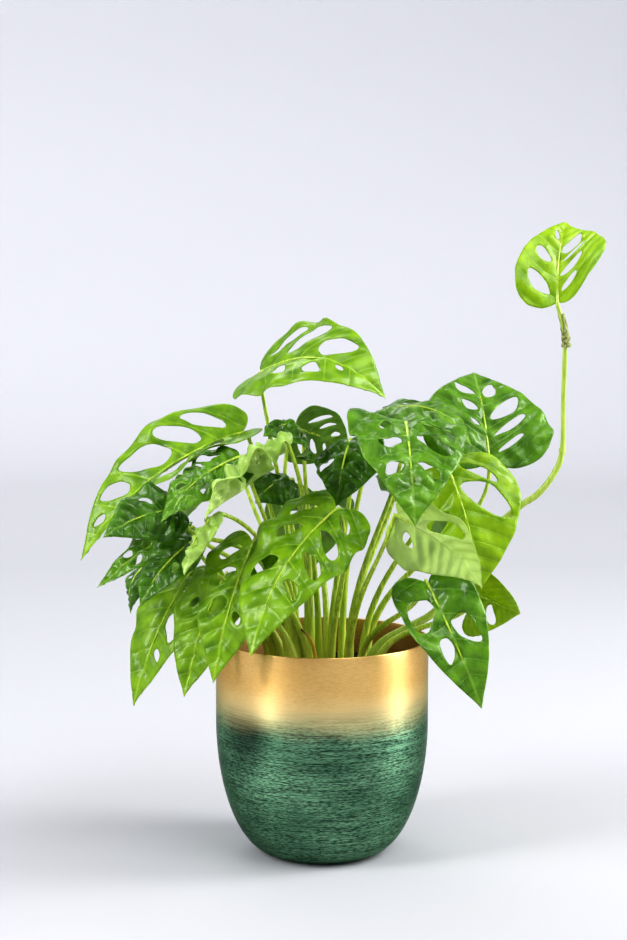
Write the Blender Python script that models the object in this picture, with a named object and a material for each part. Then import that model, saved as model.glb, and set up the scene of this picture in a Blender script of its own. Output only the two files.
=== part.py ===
"""A Swiss cheese vine (Monstera adansonii) growing in a spun-metal cachepot.

Metres, +Z up. The origin is the centre of the pot's flat foot, on the surface it stands on.
Azimuth 0 looks along +Y, so -Y is the side that faces the room and +X is to the right.
The crown is laid out from the centre of the pot's rim: every point of a leaf or a stem is given
relative to it, for a rim of CROWN_RIM, and grows with the pot's own radius.
"""

import math

import bpy
from mathutils import Vector
from mathutils.geometry import delaunay_2d_cdt

# ---------------------------------------------------------------- driving dimensions

POT_RADIUS = 0.075  # outside, at the rim
POT_HEIGHT = 0.153
POT_WALL = 0.0013
FOOT_RADIUS = 0.036  # of the flat disc that the pot stands on
BOWL_HEIGHT = 0.094  # the side is straight above this and curves in below it
SOIL_DEPTH = 0.026  # from the rim down to the soil
FIT_GAP = 0.0003  # between pieces that touch

LEAF_THICKNESS = 0.0008
CROWN_RIM = 0.075  # the rim radius that the crown's points are written for
CROWN = POT_RADIUS / CROWN_RIM
STALK_FOOT_RADIUS = 0.0024
STALK_TOP_RADIUS = 0.0012
STALK_COLLAR = 0.004  # it stands straight up for this much above the soil
STALK_TO_BLADE = 0.0026  # the stalk stops this far behind the blade's notch
VINE_FOOT_RADIUS = 0.0031
VINE_TOP_RADIUS = 0.0017
SHEATH_THICKNESS = 0.0006

SOIL_TOP = POT_HEIGHT - SOIL_DEPTH

# How finely the shapes are faceted.
TURNED_SIDES = 40
BLADE_CELL = 0.021
EDGE_STEPS = 1
WINDOW_POINTS = 6
MIDRIB_STEPS = 48
STALK_POINTS = 9

# Half of a blade's edge, from the notch at the stalk round the base lobe to the drip tip.
# Lengths are shares of the blade's length, breadths are shares of its half width.
BLADE_EDGE = [
    (0.0, 0.0),
    (-0.045, 0.2),
    (-0.055, 0.45),
    (0.01, 0.76),
    (0.14, 0.96),
    (0.30, 1.0),
    (0.47, 0.90),
    (0.64, 0.69),
    (0.80, 0.40),
    (0.92, 0.14),
    (1.0, 0.0),
]
VEIN_LEAN = 0.45  # how far a side vein runs forward for each unit it runs out
VEIN_SWEEP = 0.30  # and how much more it bends forward by the edge

# ---------------------------------------------------------------- small geometry helpers


def rim_point(point):
    """A point of the crown, given from the centre of the rim, as a world point."""
    x, y, z = point
    return Vector((x * CROWN, y * CROWN, POT_HEIGHT + z * CROWN))


def cubic(a, b, c, d, t):
    s = 1 - t
    return a * s**3 + b * (3 * s * s * t) + c * (3 * s * t * t) + d * t**3


def cubic_slope(a, b, c, d, t):
    s = 1 - t
    return (b - a) * (3 * s * s) + (c - b) * (6 * s * t) + (d - c) * (3 * t * t)


def through(points, steps):
    """A smooth line through the points, with steps pieces between each two."""
    ends = [points[0], *points, points[-1]]
    line = []
    for i in range(len(points) - 1):
        p0, p1, p2, p3 = (Vector(p) for p in ends[i : i + 4])
        for k in range(steps):
            t = k / steps
            bend = p1 * 2 + (p2 - p0) * t + (p0 * 2 - p1 * 5 + p2 * 4 - p3) * t * t
            line.append((bend + (p1 * 3 - p0 - p2 * 3 + p3) * t**3) / 2)
    line.append(Vector(points[-1]))
    return line


def material(name, colour, roughness, metallic=0.0):
    made = bpy.data.materials.new(name)
    made.use_nodes = True
    shader = made.node_tree.nodes["Principled BSDF"]
    shader.inputs["Base Color"].default_value = (*colour, 1)
    shader.inputs["Roughness"].default_value = roughness
    shader.inputs["Metallic"].default_value = metallic
    made.diffuse_color = (*colour, 1)
    return made


def add_object(name, data, finish):
    made = bpy.data.objects.new(name, data)
    made.data.materials.append(finish)
    bpy.context.scene.collection.objects.link(made)
    made.parent = PLANT
    return made


def add_mesh(name, points, faces, finish, edges=()):
    mesh = bpy.data.meshes.new(name)
    mesh.from_pydata(points, edges, faces)
    mesh.shade_smooth()
    return add_object(name, mesh, finish)


# ---------------------------------------------------------------- pot and soil


def bowl_radius(height, wall):
    """Radius at a height of the pot's side, taken in by wall: a quarter ellipse, then straight."""
    rise = min(max((height - wall) / (BOWL_HEIGHT - wall), 0.0), 1.0)
    reach = POT_RADIUS - FOOT_RADIUS
    return FOOT_RADIUS - wall + reach * math.sqrt(1 - (1 - rise) ** 2)


def side_profile(bottom, top, wall, steps):
    """Points from bottom to top along the side, closer together where it curves most."""
    span = min(top, BOWL_HEIGHT) - bottom
    heights = [bottom + span * (k / steps) ** 2 for k in range(steps + 1)]
    if top > BOWL_HEIGHT:
        heights.append(top)
    return [(bowl_radius(z, wall), z) for z in heights]


def turned(name, profile, finish):
    """Spins an open profile, which starts and ends on the Z axis, into a closed solid."""
    edges = [(i, i + 1) for i in range(len(profile) - 1)]
    made = add_mesh(name, [(r, 0, z) for r, z in profile], [], finish, edges)
    screw = made.modifiers.new("spin", "SCREW")
    screw.steps = screw.render_steps = TURNED_SIDES
    screw.use_merge_vertices = True
    screw.merge_threshold = 0.00005
    screw.use_smooth_shade = True
    return made


def build_pot():
    rim = POT_WALL / 2
    outside = side_profile(0.0, POT_HEIGHT - rim, 0.0, 8)
    inside = side_profile(POT_WALL, POT_HEIGHT - rim, POT_WALL, 7)
    crest = [(POT_RADIUS - rim, POT_HEIGHT)]
    profile = [(0, POT_WALL), *inside, *crest, *reversed(outside), (0, 0)]
    turned("pot", profile, material("lacquered_metal", (0.06, 0.22, 0.12), 0.35, 0.9))


def build_soil():
    gap = POT_WALL + FIT_GAP
    side = side_profile(gap, SOIL_TOP, gap, 6)
    crown = [(0, SOIL_TOP), (side[-1][0], SOIL_TOP)]
    profile = [*crown, *reversed(side[:-1]), (0, gap)]
    turned("soil", profile, material("potting_soil", (0.045, 0.028, 0.018), 0.95))


# ---------------------------------------------------------------- leaf blades


class Midrib:
    """The line that a blade is hung on: a cubic from base to tip, with the way the blade faces."""

    def __init__(self, base, tip, bow, lean, face, twist):
        self.base, self.tip = rim_point(base), rim_point(tip)
        chord = self.tip - self.base
        up = Vector(face)
        up = (up - chord * up.dot(chord) / chord.length_squared).normalized()
        left = up.cross(chord.normalized())
        near, far = ((up * rise + left * lean) * CROWN for rise in bow)
        self.handles = (
            self.base,
            self.base + chord / 3 + near,
            self.base + chord * 2 / 3 + far,
            self.tip,
        )
        self.up, self.twist = up, math.radians(twist)
        line = [cubic(*self.handles, k / MIDRIB_STEPS) for k in range(MIDRIB_STEPS + 1)]
        self.reached = [0.0]
        for a, b in zip(line, line[1:]):
            self.reached.append(self.reached[-1] + (b - a).length)
        self.length = self.reached[-1]

    def share(self, x):
        """The cubic's own parameter at a distance x along the midrib."""
        x = min(max(x, 0.0), self.length)
        k = next(i for i, r in enumerate(self.reached[1:]) if r >= x - 1e-12)
        step = self.reached[k + 1] - self.reached[k]
        return (k + (x - self.reached[k]) / step) / MIDRIB_STEPS

    def frame(self, x):
        """Point, forward, left and facing directions at a distance x along the midrib."""
        t = self.share(x)
        forward = cubic_slope(*self.handles, t).normalized()
        face = (self.up - forward * self.up.dot(forward)).normalized()
        left = face.cross(forward)
        turn = self.twist * (t - 0.5)
        face, left = (
            face * math.cos(turn) - left * math.sin(turn),
            left * math.cos(turn) + face * math.sin(turn),
        )
        past = min(x, 0.0) + max(x - self.length, 0.0)
        return cubic(*self.handles, t) + forward * past, forward, left, face


def half_breadth(edge, x):
    """Half width of a blade at x, both as shares, from the part of its edge past the lobe."""
    for (x0, y0), (x1, y1) in zip(edge, edge[1:]):
        if y0 >= 0.45 and x0 <= x <= x1:
            return y0 + (y1 - y0) * (x - x0) / (x1 - x0)
    return 0.0 if x > 0.5 else edge[3][1]


def vein_point(start, out, ratio):
    """A point on the side vein that leaves the midrib at start, once it is out that far.

    Both are in shares, and ratio is half width over length."""
    return start + ratio * (VEIN_LEAN * out + VEIN_SWEEP * out * out)


def vein_end(start, ratio):
    """How far out that vein meets the edge."""
    out = 1.0
    for _ in range(20):
        out = 0.5 * out + 0.5 * half_breadth(BLADE_EDGE, vein_point(start, out, ratio))
    return out


def window(side, start, inner, outer, breadth, ratio, count):
    """A hole between two side veins, a little broader towards the edge than at the midrib."""
    end = vein_end(start, ratio)
    middle, reach = end * (inner + outer) / 2, end * (outer - inner) / 2
    ring = []
    for k in range(count):
        turn = 2 * math.pi * k / count
        out = middle + reach * math.cos(turn)
        swell = 0.5 * breadth * (1 + 0.25 * math.cos(turn))
        x = vein_point(start, out, ratio) + swell * math.sin(turn)
        ring.append((x, side * out))
    return ring


def inside_ring(x, y, ring):
    found = False
    for (x0, y0), (x1, y1) in zip(ring, [*ring[1:], ring[0]]):
        if (y0 > y) != (y1 > y) and x < x0 + (x1 - x0) * (y - y0) / (y1 - y0):
            found = not found
    return found


def near_ring(x, y, ring, reach):
    """Whether a point lies within reach of a ring's sides."""
    for (x0, y0), (x1, y1) in zip(ring, [*ring[1:], ring[0]]):
        dx, dy = x1 - x0, y1 - y0
        t = ((x - x0) * dx + (y - y0) * dy) / max(dx * dx + dy * dy, 1e-18)
        t = min(max(t, 0.0), 1.0)
        if math.hypot(x0 + dx * t - x, y0 + dy * t - y) < reach:
            return True
    return False


def flat_blade(length, half_width, left, right, cell, edge_steps, window_points):
    """Points and triangles of the blade laid flat, with its windows cut out.

    x runs along the midrib from the stalk and y out to the left, in metres."""
    ratio = half_width / length
    half = through(BLADE_EDGE, edge_steps)
    outline = [(p.x, p.y) for p in half] + [(p.x, -p.y) for p in half[-2:0:-1]]
    rings = [outline]
    for side, windows in ((1, left), (-1, right)):
        rings += [window(side, *shape, ratio, window_points) for shape in windows]
    rings = [[(x * length, y * half_width) for x, y in ring] for ring in rings]
    points = [point for ring in rings for point in ring]
    edges, first = [], 0
    for ring in rings:
        count = len(ring)
        edges += [(first + k, first + (k + 1) % count) for k in range(count)]
        first += count
    columns = int(1.1 * length / cell) + 2
    rows = int(half_width / (cell * 0.866)) + 1
    for row in range(-rows, rows + 1):
        for column in range(-2, columns):
            x, y = (column + 0.5 * (row % 2)) * cell, row * cell * 0.866
            if not inside_ring(x, y, rings[0]):
                continue
            if any(inside_ring(x, y, ring) for ring in rings[1:]):
                continue
            if any(near_ring(x, y, ring, 0.4 * cell) for ring in rings):
                continue
            points.append((x, y))
    made = delaunay_2d_cdt([Vector(p) for p in points], edges, [], 0, 1e-7)
    flat = [(p.x, p.y) for p in made[0]]
    kept = []
    for face in made[2]:
        x = sum(flat[i][0] for i in face) / 3
        y = sum(flat[i][1] for i in face) / 3
        if inside_ring(x, y, rings[0]) and not any(inside_ring(x, y, r) for r in rings[1:]):
            kept.append(tuple(face))
    return flat, kept


def bent(midrib, x, y, half_width, fold, curl, sweep):
    """Where a point of the flat blade lies once it is folded, curled and hung on its midrib."""
    side = 0 if y >= 0 else 1
    out = abs(y) / half_width
    at, _, left, face = midrib.frame(x + sweep[side] * abs(y) * min(out + 0.3, 1.0))
    lift, roll = math.radians(fold[side]), math.radians(curl[side])
    if abs(roll) < 1e-4:
        across, rise = math.cos(lift) * abs(y), math.sin(lift) * abs(y)
    else:
        radius = half_width / roll
        across = radius * (math.sin(lift + roll * out) - math.sin(lift))
        rise = radius * (math.cos(lift) - math.cos(lift + roll * out))
    return at + left * math.copysign(across, y) + face * rise


def default_windows(first):
    """Three windows, each smaller than the one before, for a half that isn't given its own."""
    return [(first + 0.23 * k, 0.24, 0.84 - 0.08 * k, 0.12 - 0.02 * k) for k in range(3)]


def leaf(name, base, tip, face, width, root, bow=(0.008, 0.008), lean=0.0, fold=(8, 8),
         curl=(-10, -10), twist=0, sweep=(0, 0), left=None, right=None,
         stalk=(0.45, 0.35, 0.25), finish="green"):
    """One blade, and the stalk that carries it up from root, an (x, y) on the soil.

    Without a root it gets no stalk of its own: the vine carries it."""
    midrib = Midrib(base, tip, bow, lean, face, twist)
    half_width = width * CROWN / 2
    left = default_windows(0.05) if left is None else left
    right = default_windows(0.10) if right is None else right
    flat, faces = flat_blade(
        midrib.length, half_width, left, right, BLADE_CELL, EDGE_STEPS, WINDOW_POINTS
    )
    points = [bent(midrib, x, y, half_width, fold, curl, sweep) for x, y in flat]
    made = add_mesh(f"{name}_leaf", points, faces, FINISHES[finish])
    thicken = made.modifiers.new("thickness", "SOLIDIFY")
    thicken.thickness = LEAF_THICKNESS
    thicken.offset = 0
    if root is not None:
        add_stalk(f"{name}_stalk", root, midrib, stalk)
    return midrib


# ---------------------------------------------------------------- stalks and stems


def add_tube(name, line, radii, finish):
    """A round tapering rod along a line of points."""
    curve = bpy.data.curves.new(name, "CURVE")
    curve.dimensions = "3D"
    curve.bevel_depth = 1.0
    curve.bevel_resolution = 1
    curve.use_fill_caps = True
    spline = curve.splines.new("POLY")
    spline.points.add(len(line) - 1)
    for point, place, radius in zip(spline.points, line, radii):
        point.co = (*place, 1)
        point.radius = radius
    return add_object(name, curve, finish)


def add_stalk(name, root, midrib, shape):
    """A leaf's stalk. shape is how straight up it starts, how far below the blade it bends over,
    and how much it then runs with the midrib, from 0 to 1."""
    lift, reach, flow = shape
    _, forward, _, face = midrib.frame(0.0)
    foot = Vector((root[0] * CROWN, root[1] * CROWN, SOIL_TOP + FIT_GAP))
    collar = foot + Vector((0, 0, STALK_COLLAR))
    arrive = (forward * flow + Vector((0, 0, 1 - flow))).normalized()
    top = midrib.base - forward * STALK_TO_BLADE - face * 0.4 * STALK_TO_BLADE
    span = (top - collar).length
    handles = (collar, collar + Vector((0, 0, lift * span)), top - arrive * reach * span, top)
    line = [foot] + [cubic(*handles, k / (STALK_POINTS - 2)) for k in range(STALK_POINTS - 1)]
    thick, thin = STALK_FOOT_RADIUS * CROWN, STALK_TOP_RADIUS * CROWN
    radii = [thick - (thick - thin) * (k / (STALK_POINTS - 1)) ** 0.7
             for k in range(STALK_POINTS)]
    add_tube(name, line, radii, FINISHES["stalk"])


def build_vine(points, last_leaf):
    """The long bare stem: up from the soil, over the rim and up again to its one leaf."""
    end = last_leaf.base - last_leaf.frame(0.0)[1] * STALK_TO_BLADE
    foot = Vector((points[0][0] * CROWN, points[0][1] * CROWN, SOIL_TOP + FIT_GAP))
    collar = foot + Vector((0, 0, STALK_COLLAR))
    line = [foot, *through([collar, *map(rim_point, points[1:]), end], 2)]
    thick, thin = VINE_FOOT_RADIUS * CROWN, VINE_TOP_RADIUS * CROWN
    radii = [thick - (thick - thin) * k / (len(line) - 1) for k in range(len(line))]
    add_tube("vine_stem", line, radii, FINISHES["vine"])
    return line


def build_sheath(line):
    """The papery sheath left round the vine under its leaf, open on one side."""
    inner = VINE_TOP_RADIUS * CROWN + FIT_GAP + SHEATH_THICKNESS + 0.0006
    first, rows, columns = line[-5], 7, 8
    points = []
    for k in range(rows):
        at = first.lerp(line[-2], k / (rows - 1))
        spread = math.radians(150 - 60 * abs(k / (rows - 1) - 0.35))
        flare = inner * (1 + 0.5 * (1 - k / (rows - 1)))
        for j in range(columns):
            turn = math.radians(-20) + spread * (j / (columns - 1) - 0.5) * 1.7
            points.append(at + Vector((math.cos(turn), math.sin(turn), 0)) * flare)
    faces = [
        (i, i + 1, i + columns + 1, i + columns)
        for i in range((rows - 1) * columns)
        if i % columns < columns - 1
    ]
    made = add_mesh("vine_sheath", points, faces, FINISHES["sheath"])
    thicken = made.modifiers.new("thickness", "SOLIDIFY")
    thicken.thickness = SHEATH_THICKNESS
    thicken.offset = 0


def build_stub(root, height):
    """The yellowed foot of an old stalk that has been cut off."""
    x, y = root[0] * CROWN, root[1] * CROWN
    foot = SOIL_TOP + FIT_GAP
    tall = height * CROWN
    line = [Vector((x, y, foot)), Vector((x, y, foot + STALK_COLLAR))]
    line += [Vector((x - lean * tall, y, foot + rise * tall))
             for lean, rise in ((0.04, 0.5), (0.12, 0.8), (0.30, 1.0))]
    radii = [radius * CROWN for radius in (0.0019, 0.0019, 0.0017, 0.0014, 0.0009)]
    add_tube("cut_stub", line, radii, FINISHES["stub"])


# ---------------------------------------------------------------- the plant

for old in list(bpy.data.objects):
    bpy.data.objects.remove(old)

PLANT = bpy.data.objects.new("potted_plant", None)
bpy.context.scene.collection.objects.link(PLANT)

FINISHES = {
    "green": material("leaf_green", (0.07, 0.27, 0.02), 0.4),
    "dark": material("leaf_dark", (0.025, 0.14, 0.02), 0.35),
    "lime": material("leaf_lime", (0.20, 0.46, 0.03), 0.45),
    "pale": material("leaf_pale", (0.28, 0.45, 0.13), 0.5),
    "stalk": material("stalk_green", (0.19, 0.36, 0.05), 0.45),
    "vine": material("vine_green", (0.33, 0.47, 0.06), 0.45),
    "sheath": material("dry_sheath", (0.38, 0.40, 0.16), 0.7),
    "stub": material("yellowed_stub", (0.62, 0.36, 0.04), 0.55),
}

build_pot()
build_soil()

leaf("crown", base=(-0.043, 0.005, 0.187), tip=(0.043, -0.034, 0.171), face=(0, -0.66, 0.75),
     width=0.076, root=(-0.018, 0.012), bow=(0.027, 0.040), fold=(10, 16), curl=(-8, -20),
     sweep=(0.12, -0.30), stalk=(0.45, 0.30, -0.30),
     left=[(0.02, 0.25, 0.88, 0.14), (0.22, 0.2, 0.88, 0.13), (0.50, 0.12, 0.8, 0.18)],
     right=[(0.24, 0.15, 0.62, 0.10), (0.46, 0.22, 0.72, 0.12), (0.64, 0.08, 0.36, 0.05)],
     finish="lime")
leaf("long", base=(-0.055, 0.002, 0.145), tip=(-0.167, -0.024, 0.058), face=(-0.40, -0.50, 0.77),
     width=0.074, root=(-0.024, 0.006), bow=(0.024, 0.022), fold=(24, 26), curl=(0, -10),
     left=[(0.12, 0.18, 0.84, 0.10), (0.31, 0.15, 0.86, 0.12), (0.52, 0.18, 0.84, 0.11)],
     right=[(0.05, 0.2, 0.88, 0.10), (0.2, 0.16, 0.84, 0.12), (0.39, 0.12, 0.88, 0.19),
            (0.61, 0.18, 0.86, 0.12), (0.78, 0.25, 0.8, 0.07)],
     finish="lime")
leaf("folded", base=(-0.096, -0.058, 0.098), tip=(-0.145, -0.084, 0.083), face=(-0.2, -0.75, 0.6),
     width=0.042, root=(-0.024, -0.016), bow=(0.010, 0.010), fold=(-10, 20), curl=(-20, -20),
     left=[], right=[(0.3, 0.3, 0.7, 0.08)], stalk=(0.9, 0.3, 0.1), finish="dark")
leaf("shoulder", base=(-0.056, -0.044, 0.133), tip=(-0.107, -0.082, 0.093),
     face=(-0.45, -0.60, 0.66), width=0.052, root=(-0.016, -0.010), bow=(0.010, 0.010),
     fold=(0, 0), curl=(-30, -20), left=[(0.16, 0.3, 0.85, 0.12), (0.45, 0.3, 0.8, 0.12)])
leaf("curled", base=(-0.028, -0.062, 0.148), tip=(-0.076, -0.108, 0.098), face=(-0.55, 0.5, 0.67),
     width=0.040, root=(-0.008, -0.016), bow=(0.010, 0.014), fold=(-10, -10), curl=(-60, -60),
     twist=40, left=[], right=[(0.4, 0.3, 0.7, 0.06)], stalk=(0.6, 0.2, 0.3), finish="pale")
leaf("crinkled", base=(-0.072, -0.072, 0.097), tip=(-0.091, -0.092, 0.059), face=(-0.6, -0.5, 0.5),
     width=0.024, root=(-0.016, -0.026), bow=(0.008, 0.006), fold=(-10, -10), curl=(-60, -50),
     twist=-60, left=[], right=[], stalk=(0.45, 0.3, 0.6), finish="pale")
leaf("hook", base=(-0.012, -0.014, 0.138), tip=(-0.040, -0.042, 0.146), face=(0.1, -0.35, 0.93),
     width=0.056, root=(-0.002, 0.008), bow=(0.020, 0.014), fold=(-10, -10), curl=(-60, -60),
     left=[(0.3, 0.3, 0.8, 0.10)], right=[], finish="dark")
leaf("bud", base=(-0.022, -0.012, 0.114), tip=(-0.046, -0.026, 0.098), face=(-0.3, -0.7, 0.6),
     width=0.052, root=(-0.010, 0.000), bow=(0.008, 0.008), fold=(0, 0), curl=(-60, -50),
     left=[], right=[], finish="dark")
leaf("centre", base=(0.019, -0.024, 0.142), tip=(0.009, -0.046, 0.098), face=(-0.1, -0.9, 0.4),
     width=0.056, root=(0.006, 0.002), bow=(0.010, 0.010), fold=(30, -30), curl=(-20, -20),
     left=[], right=[(0.3, 0.3, 0.8, 0.10)], finish="dark")
leaf("front", base=(0.009, -0.068, 0.100), tip=(-0.047, -0.108, 0.008), face=(-0.35, -0.75, 0.55),
     width=0.078, root=(0.006, -0.026), bow=(0.014, 0.012), lean=-0.008, fold=(4, 0),
     curl=(-10, -28), sweep=(-0.15, 0),
     left=[(0.0, 0.2, 0.6, 0.06), (0.15, 0.15, 0.8, 0.09), (0.32, 0.2, 0.85, 0.10),
           (0.52, 0.2, 0.8, 0.08)],
     right=[(0.0, 0.3, 0.7, 0.06), (0.18, 0.2, 0.6, 0.08), (0.42, 0.2, 0.8, 0.09)],
     finish="lime")
leaf("gloss", base=(0.056, -0.050, 0.157), tip=(0.059, -0.124, 0.096), face=(-0.05, -0.60, 0.80),
     width=0.080, root=(0.018, -0.012), bow=(0.022, 0.024), fold=(0, 18), curl=(-24, -16),
     sweep=(0, -0.15),
     left=[(0.06, 0.2, 0.8, 0.14), (0.30, 0.15, 0.85, 0.16), (0.56, 0.2, 0.8, 0.08)],
     right=[(0.16, 0.2, 0.5, 0.05), (0.36, 0.15, 0.7, 0.10), (0.58, 0.2, 0.8, 0.08)])
leaf("arch", base=(0.043, 0.012, 0.160), tip=(0.104, -0.010, 0.136), face=(0.1, -0.35, 0.93),
     width=0.058, root=(0.014, 0.006), bow=(0.018, 0.022), fold=(0, 6), curl=(-40, -34),
     left=[(0.12, 0.2, 0.8, 0.18)], right=[(0.5, 0.3, 0.8, 0.1)])
leaf("upper", base=(0.119, 0.024, 0.121), tip=(0.112, 0.084, 0.181), face=(0.02, -0.62, 0.78),
     width=0.096, root=(0.032, 0.018), bow=(0.014, 0.012), fold=(16, 0), curl=(-14, -10),
     left=[(0.30, 0.12, 0.3, 0.04), (0.46, 0.15, 0.5, 0.09), (0.64, 0.2, 0.85, 0.10)],
     right=[(0.05, 0.15, 0.6, 0.05), (0.20, 0.15, 0.75, 0.07), (0.38, 0.14, 0.8, 0.15),
            (0.66, 0.1, 0.6, 0.16)])
leaf("sunlit", base=(0.085, -0.044, 0.126), tip=(0.107, -0.060, 0.044), face=(0.15, -0.85, 0.50),
     width=0.086, root=(0.028, -0.010), bow=(0.012, 0.012), fold=(4, -30), curl=(-10, -20),
     left=[(-0.02, 0.2, 0.7, 0.10), (0.20, 0.10, 0.86, 0.26)],
     right=[(0.3, 0.3, 0.8, 0.12)], finish="lime")
leaf("under", base=(0.050, -0.086, 0.098), tip=(0.104, -0.098, 0.052), face=(0.35, 0.75, 0.55),
     width=0.068, root=(0.018, -0.032), bow=(0.004, 0.010), lean=-0.006, fold=(-6, -6),
     curl=(-20, -20), left=[(0.06, 0.3, 0.6, 0.10)],
     right=[(0.02, 0.25, 0.55, 0.12), (0.30, 0.08, 0.86, 0.24)],
     stalk=(0.45, 0.3, 0.2), finish="pale")
leaf("lower", base=(0.070, -0.074, 0.051), tip=(0.105, -0.098, -0.029), face=(0.05, -0.93, 0.35),
     width=0.054, root=(0.026, -0.024), bow=(0.012, 0.010), fold=(18, 8), curl=(-10, -10),
     sweep=(-0.1, -0.4), left=[(0.36, 0.12, 0.78, 0.22)],
     right=[(0.18, 0.15, 0.85, 0.24), (0.50, 0.1, 0.6, 0.18)])
leaf("little", base=(0.108, -0.022, 0.034), tip=(0.136, -0.036, 0.023), face=(0.1, -1.0, 0.1),
     width=0.058, root=(0.038, -0.018), bow=(0.008, 0.008), fold=(62, 4), curl=(-20, -14),
     sweep=(0, -0.1), left=[], right=[(0.04, 0.2, 0.5, 0.14), (0.36, 0.15, 0.85, 0.2)],
     finish="lime")
leaf("lowest", base=(-0.092, 0.012, 0.046), tip=(-0.133, -0.008, -0.048), face=(-0.5, -0.75, 0.4),
     width=0.052, root=(-0.034, 0.010), bow=(0.012, 0.010), fold=(6, 6), curl=(-12, -12),
     left=[(0.12, 0.2, 0.6, 0.08), (0.36, 0.15, 0.75, 0.15), (0.58, 0.3, 0.7, 0.07)],
     right=[], finish="lime")
leaf("skirt", base=(-0.068, -0.012, 0.046), tip=(-0.095, -0.042, -0.034), face=(-0.4, -0.82, 0.4),
     width=0.050, root=(-0.027, -0.002), bow=(0.010, 0.010), fold=(6, 6), curl=(-12, -12),
     left=[(0.42, 0.2, 0.75, 0.12)], right=[(0.2, 0.3, 0.6, 0.07)])
leaf("drape", base=(-0.047, -0.056, 0.076), tip=(-0.073, -0.080, -0.016), face=(-0.35, -0.84, 0.4),
     width=0.054, root=(-0.010, -0.028), bow=(0.010, 0.010), fold=(6, 6), curl=(-14, -14),
     left=[(0.1, 0.2, 0.7, 0.08), (0.5, 0.2, 0.6, 0.07)],
     right=[(0.03, 0.2, 0.7, 0.09), (0.22, 0.12, 0.75, 0.13), (0.45, 0.12, 0.7, 0.14)])
leaf("shaded", base=(-0.088, -0.052, 0.076), tip=(-0.122, -0.074, 0.035), face=(-0.4, -0.80, 0.45),
     width=0.038, root=(-0.018, -0.034), bow=(0.010, 0.010), fold=(10, 10), curl=(-10, -20),
     left=[(0.35, 0.25, 0.7, 0.12)], right=[], finish="dark")
leaf("narrow", base=(-0.092, -0.014, 0.080), tip=(-0.155, -0.032, 0.040), face=(-0.3, -0.5, 0.80),
     width=0.034, root=(-0.034, 0.002), bow=(0.008, 0.006), fold=(0, 10), curl=(-10, -20),
     stalk=(0.8, 0.3, 0.3))
leaf("claw", base=(-0.122, 0.030, 0.050), tip=(-0.137, 0.024, 0.012), face=(-0.8, -0.35, 0.5),
     width=0.034, root=(-0.038, 0.022), bow=(0.012, 0.010), fold=(-10, -10), curl=(-50, -40),
     left=[], right=[(0.3, 0.3, 0.7, 0.10)], finish="dark")
leaf("olive", base=(-0.019, 0.044, 0.144), tip=(0.020, 0.046, 0.124), face=(0.1, 0.85, 0.5),
     width=0.058, root=(-0.006, 0.022), bow=(0.006, 0.008), fold=(0, 0), curl=(-14, -14))
leaf("back_left", base=(-0.060, 0.070, 0.110), tip=(-0.110, 0.115, 0.060), face=(-0.4, 0.5, 0.75),
     width=0.062, root=(-0.018, 0.032), bow=(0.018, 0.018))
leaf("back_middle", base=(-0.005, 0.085, 0.092), tip=(-0.020, 0.140, 0.010),
     face=(0, 0.8, 0.6), width=0.066, root=(0.004, 0.036), bow=(0.014, 0.014))
leaf("back_right", base=(0.058, 0.066, 0.104), tip=(0.100, 0.112, 0.034), face=(0.4, 0.6, 0.7),
     width=0.064, root=(0.020, 0.032), bow=(0.016, 0.016))
TOPMOST = leaf(
    "topmost", base=(0.163, 0.000, 0.235), tip=(0.172, 0.034, 0.291), face=(0.1, -0.80, 0.50),
    width=0.062, root=None, bow=(0.006, 0.008), lean=0.004, fold=(12, 6), curl=(-10, -6),
    sweep=(-0.1, 1.1),
    left=[(0.08, 0.18, 0.75, 0.18), (0.40, 0.25, 0.75, 0.13), (0.74, 0.1, 0.55, 0.10)],
    right=[(0.10, 0.1, 0.45, 0.09), (0.27, 0.08, 0.62, 0.12), (0.42, 0.15, 0.75, 0.05),
           (0.56, 0.08, 0.82, 0.18)],
    finish="lime")
build_sheath(build_vine(
    [(0.028, -0.004, 0), (0.042, -0.002, -0.004), (0.060, 0.000, 0.006), (0.078, 0.002, 0.016),
     (0.093, 0.004, 0.032), (0.107, 0.007, 0.054), (0.122, 0.010, 0.075), (0.139, 0.010, 0.091),
     (0.152, 0.010, 0.100), (0.163, 0.010, 0.114), (0.169, 0.010, 0.131), (0.169, 0.008, 0.166),
     (0.169, 0.004, 0.204), (0.167, 0.001, 0.220)],
    TOPMOST))
build_stub((-0.003, -0.034), 0.038)
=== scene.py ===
import math

import bpy
import numpy as np
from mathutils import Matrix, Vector, noise
from mathutils.geometry import delaunay_2d_cdt


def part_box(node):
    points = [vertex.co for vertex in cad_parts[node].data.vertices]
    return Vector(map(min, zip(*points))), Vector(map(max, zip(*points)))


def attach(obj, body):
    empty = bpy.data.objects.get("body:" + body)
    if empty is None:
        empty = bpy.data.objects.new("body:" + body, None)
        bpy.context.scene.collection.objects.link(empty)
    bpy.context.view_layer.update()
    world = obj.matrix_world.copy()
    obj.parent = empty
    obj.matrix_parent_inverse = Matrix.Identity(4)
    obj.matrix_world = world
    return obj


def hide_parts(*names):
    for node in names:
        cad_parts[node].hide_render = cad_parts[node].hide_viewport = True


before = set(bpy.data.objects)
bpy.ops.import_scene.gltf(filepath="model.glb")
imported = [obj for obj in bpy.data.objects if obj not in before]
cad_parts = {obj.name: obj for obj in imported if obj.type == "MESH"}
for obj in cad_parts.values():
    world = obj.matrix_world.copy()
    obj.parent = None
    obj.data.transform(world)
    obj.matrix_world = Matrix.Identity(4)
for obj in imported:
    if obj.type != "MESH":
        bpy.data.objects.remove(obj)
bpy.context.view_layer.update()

# ================================================================ cachepot
# One bowl spun from sheet metal, with a thin rolled rim and a small flat foot. It is brushed round
# while it turns, lacquered gold, and sprayed from the foot up with a clear green that fades out
# below the rim. The inside keeps the bare brushed gold.

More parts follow.
